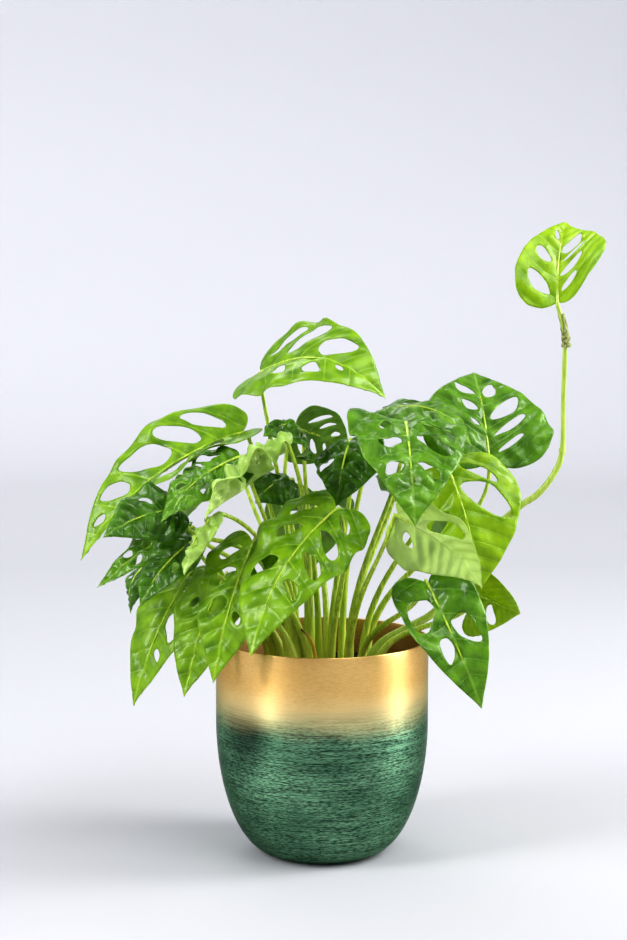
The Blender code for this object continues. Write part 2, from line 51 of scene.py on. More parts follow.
POT_SIDES = 160
POT_WALL = 0.0013
FOOT_RADIUS = 0.036
BOWL_HEIGHT = 0.094  # where the bowl's curve runs out into its straight side
POT_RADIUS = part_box("pot")[1][0]
POT_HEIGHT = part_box("pot")[1][2]
OUTSIDE_STEPS = 44  # up the curve of the bowl, outside and inside
INSIDE_STEPS = 40
STRAIGHT_STEPS = 12
RIM_STEPS = 6
FOOT_STEPS = 5
GREEN_TOP = 0.1085  # where the sprayed green has half faded
FADE_BELOW = 0.016
FADE_ABOVE = 0.014
THIN_GREEN = 0.024  # how far above that height the last of the green still veils the gold
PAINTED_SHADE = (-0.052, -0.054, 0.098)  # middle of a patch of painted shade on the green, under the leaves that hang over the rim
PAINTED_SHADE_CORE = 0.004
PAINTED_SHADE_REACH = 0.034
BRUSHING_DEPTH = 0.00005


class Finish:
    """A material built up node by node. A feed is either another node's output or a plain value."""

    def __init__(self, name):
        self.material = bpy.data.materials.new(name)
        self.material.use_nodes = True
        self.nodes = self.material.node_tree.nodes
        self.surface = self.nodes["Principled BSDF"]

    def feed(self, socket, value):
        if isinstance(value, bpy.types.NodeSocket):
            self.material.node_tree.links.new(value, socket)
        else:
            socket.default_value = value

    def set(self, **values):
        for name, value in values.items():
            self.feed(self.surface.inputs[name.replace("_", " ")], value)

    def add(self, kind, feeds, out=0, **settings):
        node = self.nodes.new("ShaderNode" + kind)
        for name, value in settings.items():
            setattr(node, name, value)
        for socket, value in feeds.items():
            self.feed(node.inputs[socket], value)
        return node.outputs[out]

    def place(self):
        return self.add("TexCoord", {}, "Object")

    def mark(self, name):
        return self.add("Attribute", {}, "Fac", attribute_name=name)

    def split(self, vector, axis):
        return self.add("SeparateXYZ", {0: vector}, axis)

    def grain(self, vector, scale=1.0, detail=3.0, roughness=0.55):
        feeds = {"Vector": vector, "Scale": scale, "Detail": detail, "Roughness": roughness}
        return self.add("TexNoise", feeds)

    def stretched(self, scale, detail=3.0, roughness=0.55):
        """Noise on the object's own coordinates, with a scale for each axis."""
        vector = self.add("Mapping", {"Vector": self.place(), "Scale": scale})
        return self.grain(vector, 1.0, detail, roughness)

    def sums(self, operation, a, b=0.0, c=0.0):
        return self.add("Math", {0: a, 1: b, 2: c}, operation=operation)

    def nudged(self, value, noise, amount):
        """The value, moved up where the noise is over a half and down where it is under."""
        return self.sums("MULTIPLY_ADD", self.sums("SUBTRACT", noise, 0.5), amount, value)

    def shared(self, a, share, b):
        """A share of a, and what is left of b."""
        return self.sums("MULTIPLY_ADD", a, share, self.sums("MULTIPLY", b, 1.0 - share))

    def rough(self, least, more, noise):
        self.set(Roughness=self.sums("MULTIPLY_ADD", noise, more, least))

    def spread(self, value, low, high, to_low=0.0, to_high=1.0, smooth=False):
        feeds = {0: value, 1: low, 2: high, 3: to_low, 4: to_high}
        kind = "SMOOTHSTEP" if smooth else "LINEAR"
        return self.add("MapRange", feeds, interpolation_type=kind)

    def blend(self, factor, a, b):
        a, b = (v if isinstance(v, bpy.types.NodeSocket) else (*v, 1.0) for v in (a, b))
        return self.add("Mix", {0: factor, 6: a, 7: b}, 2, data_type="RGBA")

    def bump(self, height, distance, strength=1.0):
        feeds = {"Height": height, "Distance": distance, "Strength": strength}
        self.set(Normal=self.add("Bump", feeds))


def add_piece(name, mesh, materials, slot, *nodes):
    """Puts a finished mesh in the scene on the plant's one body, in place of its CAD nodes."""
    piece = bpy.data.objects.new(name, mesh)
    for material in materials:
        mesh.materials.append(material)
    bpy.context.scene.collection.objects.link(piece)
    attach(piece, "root")
    if nodes:
        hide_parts(*nodes)
    return piece


def smooth_mesh(name, points, faces):
    mesh = bpy.data.meshes.new(name)
    mesh.from_pydata([tuple(p) for p in points], [], faces)
    mesh.shade_smooth()
    return mesh


def spun(profile, sides):
    """Points and faces of a profile turned round the Z axis. It starts and ends on the axis,
    and runs so that the metal is on its left."""
    points = [(0.0, 0.0, profile[0][1])]
    for r, z in profile[1:-1]:
        turns = (2 * math.pi * k / sides for k in range(sides))
        points += [(r * math.cos(t), r * math.sin(t), z) for t in turns]
    points.append((0.0, 0.0, profile[-1][1]))
    last = len(points) - 1
    faces = [(0, 1 + k, 1 + (k + 1) % sides) for k in range(sides)]
    for ring in range(len(profile) - 3):
        low, high = 1 + ring * sides, 1 + (ring + 1) * sides
        for k in range(sides):
            after = (k + 1) % sides
            faces.append((low + k, high + k, high + after, low + after))
    faces += [(last, last - sides + (k + 1) % sides, last - sides + k) for k in range(sides)]
    return points, faces


def bowl_radius(height, wall):
    """Radius of the bowl at a height, taken in by wall: a quarter ellipse, then straight."""
    rise = min(max((height - wall) / (BOWL_HEIGHT - wall), 0.0), 1.0)
    reach = POT_RADIUS - FOOT_RADIUS
    return FOOT_RADIUS - wall + reach * math.sqrt(1 - (1 - rise) ** 2)


def side_profile(bottom, top, wall, steps):
    """Points up the side, closest together by the foot, where it curves most."""
    span = BOWL_HEIGHT - bottom
    heights = [bottom + span * (k / steps) ** 2 for k in range(steps)]
    rise = (top - BOWL_HEIGHT) / STRAIGHT_STEPS
    heights += [BOWL_HEIGHT + rise * k for k in range(STRAIGHT_STEPS + 1)]
    return [(bowl_radius(z, wall), z) for z in heights]


def pot_profile():
    """Foot, outside, round-nosed rim, inside, floor."""
    nose = POT_WALL / 2
    outside = side_profile(0.0, POT_HEIGHT - nose, 0.0, OUTSIDE_STEPS)
    inside = side_profile(POT_WALL, POT_HEIGHT - nose, POT_WALL, INSIDE_STEPS)
    rim = []
    for k in range(1, RIM_STEPS):
        turn = math.pi * k / RIM_STEPS
        rim.append((POT_RADIUS - nose + nose * math.cos(turn),
                    POT_HEIGHT - nose + nose * math.sin(turn)))
    foot = [(FOOT_RADIUS * k / FOOT_STEPS, 0.0) for k in range(FOOT_STEPS)]
    within = FOOT_RADIUS - POT_WALL
    floor = [(within * k / (FOOT_STEPS - 1), POT_WALL) for k in range(FOOT_STEPS - 2, -1, -1)]
    return [*foot, *outside, *rim, *reversed(inside), *floor]


def brushed(finish, along, across):
    """Brush marks: long round the pot and very narrow up it."""
    return finish.stretched((along, along, across), 3.0, 0.6)


def outside_finish():
    made = Finish("brushed_gold_and_green")
    height = made.split(made.place(), "Z")
    marks, hairs = brushed(made, 34.0, 1250.0), brushed(made, 300.0, 1900.0)
    cloud = made.stretched((16.0, 16.0, 34.0))
    patchy = made.stretched((15.0, 15.0, 32.0), 2.0)
    level = made.nudged(made.nudged(height, marks, 0.009), patchy, 0.016)

    # Clouded gold with darker hairlines, paler where the last of the green veils it.
    bare = made.blend(cloud, (0.70, 0.42, 0.125), (0.94, 0.69, 0.320))
    bare = made.blend(made.spread(hairs, 0.40, 0.72, 0.0, 0.30), bare, (0.46, 0.23, 0.045))
    thin = made.spread(level, GREEN_TOP, GREEN_TOP + THIN_GREEN, 0.60, 0.0, smooth=True)
    bare = made.blend(thin, bare, (0.90, 0.80, 0.44))

    # Green that has settled dark in the brush marks and in pools, and one patch of painted shade
    # under the hanging leaves.
    grain = made.shared(marks, 0.38, hairs)
    streak = made.spread(grain, 0.38, 0.64, smooth=True)
    green = made.blend(streak, (0.030, 0.062, 0.042), (0.285, 0.540, 0.340))
    pool = made.spread(patchy, 0.34, 0.60, 0.50, 0.0)
    green = made.blend(pool, green, (0.012, 0.060, 0.034))
    # Painted shade: the green is painted darker round one point, where the leaves hang over the
    # rim.
    feeds = {0: made.place(), 1: PAINTED_SHADE}
    from_painted_shade = made.add("VectorMath", feeds, 1, operation="DISTANCE")
    painted_shade = made.spread(from_painted_shade, PAINTED_SHADE_CORE, PAINTED_SHADE_REACH, 0.75, 0.0, smooth=True)
    green = made.blend(painted_shade, green, (0.012, 0.024, 0.016))

    faded = made.spread(level, GREEN_TOP - FADE_BELOW, GREEN_TOP + FADE_ABOVE, smooth=True)
    made.set(Base_Color=made.blend(faded, green, bare), Metallic=0.94)
    made.rough(0.28, 0.16, hairs)
    made.set(Specular_Tint=(0.42, 0.46, 0.42, 1.0))
    made.set(Anisotropic=0.75, Anisotropic_Rotation=0.25, Coat_Weight=0.05, Coat_Roughness=0.2)
    made.bump(grain, BRUSHING_DEPTH, 0.5)
    return made.material


def inside_finish():
    made = Finish("brushed_gold_inside")
    marks, hairs = brushed(made, 60.0, 700.0), brushed(made, 200.0, 2400.0)
    tone = made.blend(marks, (0.46, 0.27, 0.08), (0.86, 0.58, 0.25))
    made.set(Base_Color=tone, Metallic=0.9)
    made.rough(0.32, 0.2, hairs)
    made.bump(hairs, BRUSHING_DEPTH, 0.5)
    return made.material


pot_points, pot_faces = spun(pot_profile(), POT_SIDES)
pot_mesh = smooth_mesh("cachepot", pot_points, pot_faces)
add_piece("cachepot", pot_mesh, [outside_finish(), inside_finish()], "lacquered_metal", "pot")
for face in pot_mesh.polygons:
    x, y, z = face.center
    nearer = math.hypot(x, y) < bowl_radius(z, POT_WALL / 2) - 0.0001
    face.material_index = int(nearer and z > POT_WALL / 2)

# ================================================================ soil
# Dark, damp compost, heaped a little unevenly and reaching the wall all round. Crumbs and chips of
# bark lie loose on it; they are scattered over the top by Geometry Nodes.

SOIL_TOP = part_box("soil")[1][2]
SOIL_SIDES = 96
SOIL_RINGS = 30
SOIL_UNEVEN = 0.0022
SOIL_DIP = 0.0006
SOIL_CALM_EDGE = 0.006
SOIL_FIT = 0.0002
CRUMBS_PER_M2 = 105000.0
CRUMB_SIZE = (0.0005, 0.0019)


def soil_finish(name, dark, light):
    made = Finish(name)
    lumps = made.grain(made.place(), 420.0, 6.0, 0.7)
    patches = made.grain(made.place(), 60.0, 3.0)
    tone = made.blend(made.spread(lumps, 0.3, 0.75), dark, light)
    damp = made.blend(made.spread(patches, 0.4, 0.7, 0.0, 0.6), tone, dark)
    made.set(Base_Color=damp, Roughness=made.spread(patches, 0.3, 0.7, 0.75, 0.97))
    made.bump(lumps, 0.0006, 0.8)
    return made.material


def soil_height(x, y):
    """How far the heaped top stands above or below the level line."""
    edge = min(1.0, (soil_reach - math.hypot(x, y)) / SOIL_CALM_EDGE)
    heap = noise.fractal(Vector((x, y, 0.3)) * 45.0, 0.6, 2.0, 5)
    return edge * (SOIL_UNEVEN * heap - SOIL_DIP)


soil_gap = POT_WALL + SOIL_FIT
soil_reach = bowl_radius(SOIL_TOP, soil_gap)
beneath = [(FOOT_RADIUS * k / 4, soil_gap) for k in range(4)]
beside = [(bowl_radius(z, soil_gap), z) for z in np.linspace(soil_gap, SOIL_TOP, 40)]
on_top = [(soil_reach * (1 - k / SOIL_RINGS), SOIL_TOP) for k in range(1, SOIL_RINGS + 1)]
soil_points, soil_faces = spun([*beneath, *beside, *on_top], SOIL_SIDES)
soil_points = [(x, y, z + soil_height(x, y) if z > SOIL_TOP - 1e-6 else z)
               for x, y, z in soil_points]
earth = soil_finish("damp_compost", (0.010, 0.006, 0.004), (0.062, 0.036, 0.020))
soil_mesh = smooth_mesh("compost", soil_points, soil_faces)
add_piece("compost", soil_mesh, [earth], "potting_soil", "soil")


class Tree:
    """A Geometry Nodes tree built up node by node, with named inputs."""

    def __init__(self, name):
        self.tree = bpy.data.node_groups.new(name, "GeometryNodeTree")
        self.sockets = {}
        self.source = self.tree.nodes.new("NodeGroupInput")
        self.sink = self.tree.nodes.new("NodeGroupOutput")

    def input(self, name, kind):
        made = self.tree.interface.new_socket(name, in_out="INPUT", socket_type="NodeSocket" + kind)
        self.sockets[name] = made.identifier
        return self.source.outputs[name]

    def add(self, kind, feeds, out=0, **settings):
        node = self.tree.nodes.new(kind)
        for name, value in settings.items():
            setattr(node, name, value)
        for socket, value in feeds.items():
            if isinstance(value, bpy.types.NodeSocket):
                self.tree.links.new(value, node.inputs[socket])
            else:
                node.inputs[socket].default_value = value
        return node.outputs[out]

    def end(self, geometry, material):
        """Every tree ends the same way: real faces, shaded smooth, with their material."""
        geometry = self.add("GeometryNodeSetShadeSmooth", {0: geometry})
        geometry = self.add("GeometryNodeRealizeInstances", {0: geometry})
        geometry = self.add("GeometryNodeSetMaterial", {0: geometry, "Material": material})
        socket = self.tree.interface.new_socket(
            "Made", in_out="OUTPUT", socket_type="NodeSocketGeometry"
        )
        self.tree.links.new(geometry, self.sink.inputs[socket.name])

    def run(self, name, mesh, **values):
        """The plain mesh that the tree makes out of mesh with these inputs."""
        guide = bpy.data.objects.new(name + "_guide", mesh)
        bpy.context.scene.collection.objects.link(guide)
        modifier = guide.modifiers.new("grow", "NODES")
        modifier.node_group = self.tree
        for socket, value in values.items():
            modifier[self.sockets[socket.replace("_", " ")]] = value
        graph = bpy.context.evaluated_depsgraph_get()
        made = bpy.data.meshes.new_from_object(guide.evaluated_get(graph))
        made.name = name
        bpy.data.objects.remove(guide)
        return made


def crumb_tree(material):
    """Little lumps, each with its own proportions and turn, strewn over the ground."""
    tree = Tree("scattered_crumbs")
    ground = tree.input("Ground", "Geometry")
    density, seed = tree.input("Density", "Float"), tree.input("Seed", "Int")
    least, most = tree.input("Least size", "Float"), tree.input("Most size", "Float")
    feeds = {"Mesh": ground, "Density": density, "Seed": seed}
    points = tree.add("GeometryNodeDistributePointsOnFaces", feeds)
    crumb = tree.add("GeometryNodeMeshIcoSphere", {"Radius": 1.0, "Subdivisions": 1})
    low = tree.add("ShaderNodeCombineXYZ", {0: least, 1: least, 2: least})
    high = tree.add("ShaderNodeCombineXYZ", {0: most, 1: most, 2: most})
    feeds = {0: low, 1: high, "Seed": seed}
    shape = tree.add("FunctionNodeRandomValue", feeds, data_type="FLOAT_VECTOR")
    feeds = {0: (0.0, 0.0, 0.0), 1: (6.28, 6.28, 6.28), "Seed": seed}
    turn = tree.add("FunctionNodeRandomValue", feeds, data_type="FLOAT_VECTOR")
    feeds = {"Points": points, "Instance": crumb, "Rotation": turn, "Scale": shape}
    tree.end(tree.add("GeometryNodeInstanceOnPoints", feeds), material)
    return tree


def clear_top(x, y, z):
    """Whether a point of the soil is on its top and clear of the wall, where crumbs can lie."""
    return z > SOIL_TOP - 0.004 and math.hypot(x, y) < soil_reach - 0.002


ground = bpy.data.meshes.new("top_of_soil")
lying = [face for face in soil_faces if all(clear_top(*soil_points[i]) for i in face)]
ground.from_pydata(soil_points, [], lying)
chips = soil_finish("bark_crumbs", (0.014, 0.008, 0.005), (0.110, 0.064, 0.034))
crumbs = crumb_tree(chips).run("loose_crumbs", ground, Density=CRUMBS_PER_M2, Seed=7,
                               Least_size=CRUMB_SIZE[0], Most_size=CRUMB_SIZE[1])
add_piece("loose_crumbs", crumbs, [], "potting_soil")

# ================================================================ leaf blades
# Thin living blades, heart-shaped at the stalk and drawn out to a drip tip, with natural windows
# between the side veins. Each arches over a midrib, cups or curls to either side of it, and
# puckers up between its veins; below, the veins stand proud and the green is paler and duller.

BLADE_THICKNESS = 0.00045
BLADE_CELL = 0.0015
ROW_RISE = 0.866  # height of a row of even triangles, in cells
SPINE_STEP = 0.8  # between points of the midrib, in cells
WINDOW_POINTS = 26
WINDOW_WOBBLE = 0.16
WINDOW_SWELL = 0.28
EDGE_WAVE = 0.055
EDGE_RIPPLE = 0.016
CROWN_RIM = 0.075  # the rim radius that every place in the crown is given for
CROWN = POT_RADIUS / CROWN_RIM
EDGE_STEPS = 14  # pieces between two points of the edge
STATIONS = 256  # pieces of a midrib
WIDEST_LOBE = 0.45  # the base lobe of the edge ends where a half is this broad
BLADE_EDGE = [
    (0.0, 0.0),
    (-0.045, 0.2),
    (-0.055, 0.45),
    (0.01, 0.76),
    (0.14, 0.96),
    (0.30, 1.0),
    (0.47, 0.90),
    (0.64, 0.69),
    (0.80, 0.40),
    (0.92, 0.14),
    (1.0, 0.0),
]
VEIN_LEAN = 0.45
VEIN_SWEEP = 0.30
VEIN_SLANT = 0.85  # distance straight across from a vein, for each metre along the midrib
VEIN_STEP = 0.15  # between side veins where no windows set it, in lengths of the blade
PUCKER = 0.0012  # how far the skin swells up between two veins
GROOVE = 0.0004  # how deep a vein lies in the upper side
RIB = 0.0007  # how far the midrib stands proud below
VEIN_WIDTH = (0.0012, 0.0008)  # of its groove above, and of its rib below
MIDRIB_WIDTH = (0.0016, 0.0011)
DIMPLES = 0.0008  # height of the fine unevenness, and next of the broad one
BILLOWS = 0.0030
CALM_EDGE = 0.006  # over which the relief dies away towards the edge
RUFFLE_PITCH = 0.0052  # length of a wave of the edge, over two pi
CRINKLED_FROM = 0.004  # ruffle, times 1.4, past which the skin is crinkled all over
SKIN_RELIEF = 0.00022
GLOW_SHARE = 0.30  # of the light that a blade lets through
VEIL = 0.38  # share of a lower skin's colour that is its pale veil


def rim_point(point):
    """A point of the crown, given from the centre of the rim, as a world point."""
    x, y, z = point
    return Vector((x * CROWN, y * CROWN, POT_HEIGHT + z * CROWN))


def cubic(a, b, c, d, t):
    s = 1 - t
    return a * s**3 + b * (3 * s * s * t) + c * (3 * s * t * t) + d * t**3


def cubic_slope(a, b, c, d, t):
    s = 1 - t
    return (b - a) * (3 * s * s) + (c - b) * (6 * s * t) + (d - c) * (3 * t * t)


def through(points, steps):
    """A smooth line through the points, with steps pieces between each two."""
    ends = [points[0], *points, points[-1]]
    line = []
    for i in range(len(points) - 1):
        p0, p1, p2, p3 = (Vector(p) for p in ends[i : i + 4])
        for k in range(steps):
            t = k / steps
            bend = p1 * 2 + (p2 - p0) * t + (p0 * 2 - p1 * 5 + p2 * 4 - p3) * t * t
            line.append((bend + (p1 * 3 - p0 - p2 * 3 + p3) * t**3) / 2)
    line.append(Vector(points[-1]))
    return line


class Midrib:
    """The line that a blade is hung on: a cubic from base to tip, with the way the blade faces."""

    def __init__(self, base, tip, bow, lean, face, twist):
        self.base, self.tip = rim_point(base), rim_point(tip)
        chord = self.tip - self.base
        up = Vector(face)
        up = (up - chord * up.dot(chord) / chord.length_squared).normalized()
        left = up.cross(chord.normalized())
        near, far = ((up * rise + left * lean) * CROWN for rise in bow)
        line = (self.base, self.base + chord / 3 + near, self.base + chord * 2 / 3 + far, self.tip)
        self.shares = np.linspace(0, 1, STATIONS + 1)
        self.places = np.array([cubic(*line, t) for t in self.shares])
        self.forwards, self.faces, self.lefts = [], [], []
        for t in self.shares:
            forward = cubic_slope(*line, t).normalized()
            above = (up - forward * up.dot(forward)).normalized()
            beside = above.cross(forward)
            turn = math.radians(twist) * (t - 0.5)
            self.forwards.append(forward)
            self.faces.append(above * math.cos(turn) - beside * math.sin(turn))
            self.lefts.append(beside * math.cos(turn) + above * math.sin(turn))
        steps = np.linalg.norm(np.diff(self.places, axis=0), axis=1)
        self.reached = np.concatenate([[0.0], np.cumsum(steps)])
        self.length = self.reached[-1]

    def frame(self, x):
        """Places, forward, left and facing directions at distances x along the midrib."""
        t = np.interp(x, self.reached, self.shares)

        def read(rows):
            rows = np.array(rows)
            return np.stack([np.interp(t, self.shares, rows[:, k]) for k in range(3)], axis=-1)

        past = np.minimum(x, 0.0) + np.maximum(x - self.length, 0.0)
        forward = read(self.forwards)
        place = read(self.places) + forward * np.asarray(past)[..., None]
        return place, forward, read(self.lefts), read(self.faces)


def half_breadth(x):
    """Half width of a blade at x, both as shares, past the base lobe."""
    for (x0, y0), (x1, y1) in zip(BLADE_EDGE, BLADE_EDGE[1:]):
        if y0 >= WIDEST_LOBE and x0 <= x <= x1:
            return y0 + (y1 - y0) * (x - x0) / (x1 - x0)
    return 0.0 if x > 0.5 else BLADE_EDGE[3][1]


def vein_point(start, out, ratio):
    """How far along a side vein has got, once it is out that far. All are shares."""
    return start + ratio * (VEIN_LEAN * out + VEIN_SWEEP * out * out)


def window(side, start, inner, outer, breadth, ratio, seed):
    """A hole between two side veins: egg-shaped, broader towards the edge, never quite even."""
    end = 1.0
    for _ in range(20):
        end = 0.5 * end + 0.5 * half_breadth(vein_point(start, end, ratio))
    middle, reach = end * (inner + outer) / 2, end * (outer - inner) / 2
    ring = []
    for k in range(WINDOW_POINTS):
        turn = 2 * math.pi * k / WINDOW_POINTS
        uneven = noise.noise(Vector((math.cos(turn), math.sin(turn), seed)) * 1.3)
        wobble = 1 + WINDOW_WOBBLE * uneven
        out = middle + reach * math.cos(turn) * wobble
        swell = 0.5 * breadth * (1 + WINDOW_SWELL * math.cos(turn)) * wobble
        shape = math.copysign(abs(math.sin(turn)) ** 0.86, math.sin(turn))
        ring.append((vein_point(start, out, ratio) + swell * shape, side * out))
    return np.array(ring)


def edge_ring(half_width, length, seed):
    """The blade's edge, in metres, with the small irregularities of a grown one."""
    half = through([Vector((x, y, 0)) for x, y in BLADE_EDGE], EDGE_STEPS)
    ring = [(p.x, p.y) for p in half] + [(p.x, -p.y) for p in half[-2:0:-1]]
    made = []
    for x, y in ring:
        wave = noise.noise(Vector((x * 4.5, math.copysign(1.0, y) * 3, seed)))
        ripple = noise.noise(Vector((x * 15.0, math.copysign(1.0, y) * 5, seed + 4)))
        breadth = half_width * (1 + EDGE_WAVE * wave + EDGE_RIPPLE * ripple)
        made.append((x * length, y * breadth))
    return np.array(made)


def inside(points, ring):
    x, y = points[:, 0], points[:, 1]
    found = np.zeros(len(points), bool)
    for (x0, y0), (x1, y1) in zip(ring, np.roll(ring, -1, axis=0)):
        if y0 != y1:
            found ^= ((y0 > y) != (y1 > y)) & (x < x0 + (x1 - x0) * (y - y0) / (y1 - y0))
    return found


def gap_to(points, ring):
    """Each point's distance from a ring's sides."""
    least = np.full(len(points), 1.0)
    for a, b in zip(ring, np.roll(ring, -1, axis=0)):
        run = b - a
        t = np.clip(((points - a) @ run) / max(run @ run, 1e-18), 0, 1)
        least = np.minimum(least, np.linalg.norm(points - a - t[:, None] * run, axis=1))
    return least


def cells(edge, holes, length, half_width):
    """An even grid of points over the blade, clear of its edge, its windows and its midrib."""
    rise = ROW_RISE * BLADE_CELL
    rows = int(1.1 * half_width / rise) + 1
    columns = range(int(-0.08 * length / BLADE_CELL) - 1, int(1.02 * length / BLADE_CELL) + 1)
    grid = np.array([((column + 0.5 * (row % 2)) * BLADE_CELL, row * rise)
                     for row in range(-rows, rows + 1) if row
                     for column in columns])
    grid = grid[inside(grid, edge)]
    for ring in holes:
        grid = grid[~inside(grid, ring)]
    for ring in (edge, *holes):
        grid = grid[gap_to(grid, ring) > 0.5 * BLADE_CELL]
    return grid


def trimmed(flat, faces, edge, holes):
    """The triangles inside the edge and outside the windows, turned face up, and their points."""
    middles = flat[faces].mean(axis=1)
    keep = inside(middles, edge)
    for ring in holes:
        keep &= ~inside(middles, ring)
    faces = faces[keep]
    a, b, c = (flat[faces[:, k]] for k in range(3))
    turned = np.cross(b - a, c - a) < 0
    faces[turned] = faces[turned][:, ::-1]
    used = np.unique(faces)
    renumber = np.full(len(flat), -1)
    renumber[used] = np.arange(len(used))
    return flat[used], renumber[faces]


def flat_blade(length, half_width, left, right, seed):
    """The blade laid flat, as points, triangles and each point's distance from the outer edge.
    x runs along the midrib from the stalk and y out to the left, in metres."""
    edge = edge_ring(half_width, length, seed)
    holes = []
    for side, windows in ((1, left), (-1, right)):
        for k, shape in enumerate(windows):
            ring = window(side, *shape, half_width / length, seed + 7 * k + side)
            holes.append(ring * (length, half_width))
    sides, first = [], 0
    for ring in (edge, *holes):
        sides += [(first + k, first + (k + 1) % len(ring)) for k in range(len(ring))]
        first += len(ring)
    steps = int(length / (SPINE_STEP * BLADE_CELL))
    spine = np.stack([np.linspace(0, length, steps + 1)[1:-1], np.zeros(steps - 1)], axis=1)
    tip = EDGE_STEPS * (len(BLADE_EDGE) - 1)
    way = [0, *range(first, first + steps - 1), tip]
    sides += list(zip(way, way[1:]))
    points = np.concatenate([edge, *holes, spine, cells(edge, holes, length, half_width)])
    made = delaunay_2d_cdt([Vector(p) for p in points], sides, [], 0, 1e-8)
    flat = np.array([tuple(p) for p in made[0]])
    flat, faces = trimmed(flat, np.array([tuple(f) for f in made[2]]), edge, holes)
    return flat, faces, gap_to(flat, edge)


def side_veins(windows):
    """Where the side veins of one half leave the midrib: one between each two windows, and on
    beyond the first and the last of them at the windows' own pace."""
    starts = [w[0] for w in windows]
    if not starts:
        return np.arange(-0.3, 1.3, VEIN_STEP)
    veins = [(a + b) / 2 for a, b in zip(starts, starts[1:])]
    first = veins[0] if veins else starts[0] + 0.1
    last = veins[-1] if veins else first
    back = min(max(first - starts[0], 0.06) * 2, 0.2)
    before = [first - back * k for k in range(4, 0, -1)]
    step = min(max(starts[-1] - last, 0.06) * 2, 0.16) if veins else VEIN_STEP
    after = [last + step + 0.12 * k for k in range(8)]
    return np.array([*before, *(veins or [first]), *after])


def vein_count(x, out, length, half_width, veins):
    """Which vein a point lies on, as a number that is whole on a vein and halfway between two,
    and how far from it the point lies, in metres."""
    start = x / length - half_width / length * (VEIN_LEAN * out + VEIN_SWEEP * out * out)
    count = np.interp(start, veins, np.arange(len(veins)))
    gaps = np.diff(veins)
    gap = gaps[np.clip(count.astype(int), 0, len(gaps) - 1)] * length
    return count, np.abs(count - np.round(count)) * gap * VEIN_SLANT


def bell(distance, width):
    return np.exp(-((distance / width) ** 2))


def rough_noise(flat, scale, seed):
    return np.array([noise.noise(Vector((x * scale, y * scale, seed))) for x, y in flat])


def bent(midrib, flat, half_width, sweep, fold, curl):
    """Where the flat blade's points go, and the way that it faces there. Each half is swept along
    the midrib, folded up from it by an angle and rolled on by a curl over its breadth."""
    x, y = flat.T
    on_left = y >= 0
    side = np.where(on_left, 1, -1)
    reach = np.abs(y)
    out = reach / half_width
    swept_by = np.where(on_left, *sweep) * reach * np.minimum(out + 0.3, 1.0)
    place, _, lefts, faced = midrib.frame(x + swept_by)
    lift, roll = np.radians(np.where(on_left, *fold)), np.radians(np.where(on_left, *curl))
    roll = np.where(np.abs(roll) < 1e-3, 1e-3, roll)
    angle = lift + roll * out
    radius = half_width / roll
    across = radius * (np.sin(angle) - np.sin(lift)) * side
    rise = radius * (np.cos(lift) - np.cos(angle))
    tilt = np.sin(angle) * side
    place = place + lefts * across[:, None] + faced * rise[:, None]
    return place, faced * np.cos(angle)[:, None] - lefts * tilt[:, None]


def swelling(flat, along, out, rim_gap, count, from_vein, ruffle, seed):
    """How far the skin stands above the bent blade: pillows between sunken veins, dimples and
    billows all over, and waves towards an edge that grew faster than the middle."""
    x, y = flat.T
    calm = np.clip(rim_gap / CALM_EDGE, 0, 1) * np.clip((1 - along) / 0.15, 0.15, 1)
    pillow = np.sin(np.pi * (count - np.floor(count))) ** 1.2 * np.clip(out / 0.25, 0, 1)
    uneven = np.clip(0.55 + 1.3 * rough_noise(flat, 48.0, seed + 9), 0.1, 1.5)
    relief = (PUCKER + 0.25 * ruffle) * calm * uneven * (pillow - 0.4)
    relief -= GROOVE * bell(from_vein, VEIN_WIDTH[0]) * np.clip(1.05 - out, 0, 1)
    relief -= 1.6 * GROOVE * bell(np.abs(y), MIDRIB_WIDTH[0]) * (1.1 - along)
    relief += (DIMPLES + 0.6 * ruffle) * rough_noise(flat, 105.0, seed) * calm
    relief += BILLOWS * rough_noise(flat, 26.0, seed + 2) * np.clip(out, 0.1, 1)
    relief += 1.6 * ruffle * rough_noise(flat, 62.0, seed + 5) * np.clip(out, 0.15, 1)
    crinkle = max(0.0, 1.4 * ruffle - CRINKLED_FROM)
    relief += crinkle * rough_noise(flat, 170.0, seed + 6) * calm
    wander = 2.2 * np.sin(x / 0.019 + seed) + y * 12
    return relief + ruffle * out**3 * np.sin(x / RUFFLE_PITCH + wander)


def two_skins(name, top, bottom, faces):
    """A closed sheet: the upper skin, the lower one as material 1, and walls round every edge."""
    total = len(top)
    sides = np.concatenate([faces[:, [0, 1]], faces[:, [1, 2]], faces[:, [2, 0]]])
    single = {tuple(s) for s in sides} - {(b, a) for a, b in sides}
    walls = [(b, a, a + total, b + total) for a, b in sorted(single)]
    lower = faces[:, ::-1] + total
    mesh = smooth_mesh(name, np.concatenate([top, bottom]),
                       [*map(tuple, faces), *map(tuple, lower), *walls])
    which = np.zeros(len(mesh.polygons), np.int32)
    which[len(faces) : 2 * len(faces)] = 1
    mesh.polygons.foreach_set("material_index", which)
    return mesh


def chart(mesh, flat, half_width, counts, marks):
    """Gives both skins what their finish reads: a map of the flat blade, a map of its veins, and
    point marks such as how far along the blade they are."""
    x, y = flat.T
    corner = np.empty(len(mesh.loops), np.int32)
    mesh.loops.foreach_get("vertex_index", corner)
    corner %= len(flat)
    starts = np.repeat(np.arange(len(mesh.polygons)), [len(p.vertices) for p in mesh.polygons])
    is_left = (np.bincount(starts, weights=y[corner]) >= 0)[starts]
    veins = np.where(is_left, counts[0][corner], counts[1][corner])
    out = np.abs(y[corner]) / half_width
    for layer, values in (("veins", (veins, out)), ("flat", (x[corner], y[corner]))):
        mesh.uv_layers.new(name=layer).data.foreach_set("uv", np.stack(values, axis=1).ravel())
    for mark, values in marks.items():
        layer = mesh.attributes.new(mark, "FLOAT", "POINT")
        layer.data.foreach_set("value", np.tile(values, 2).astype(np.float32))


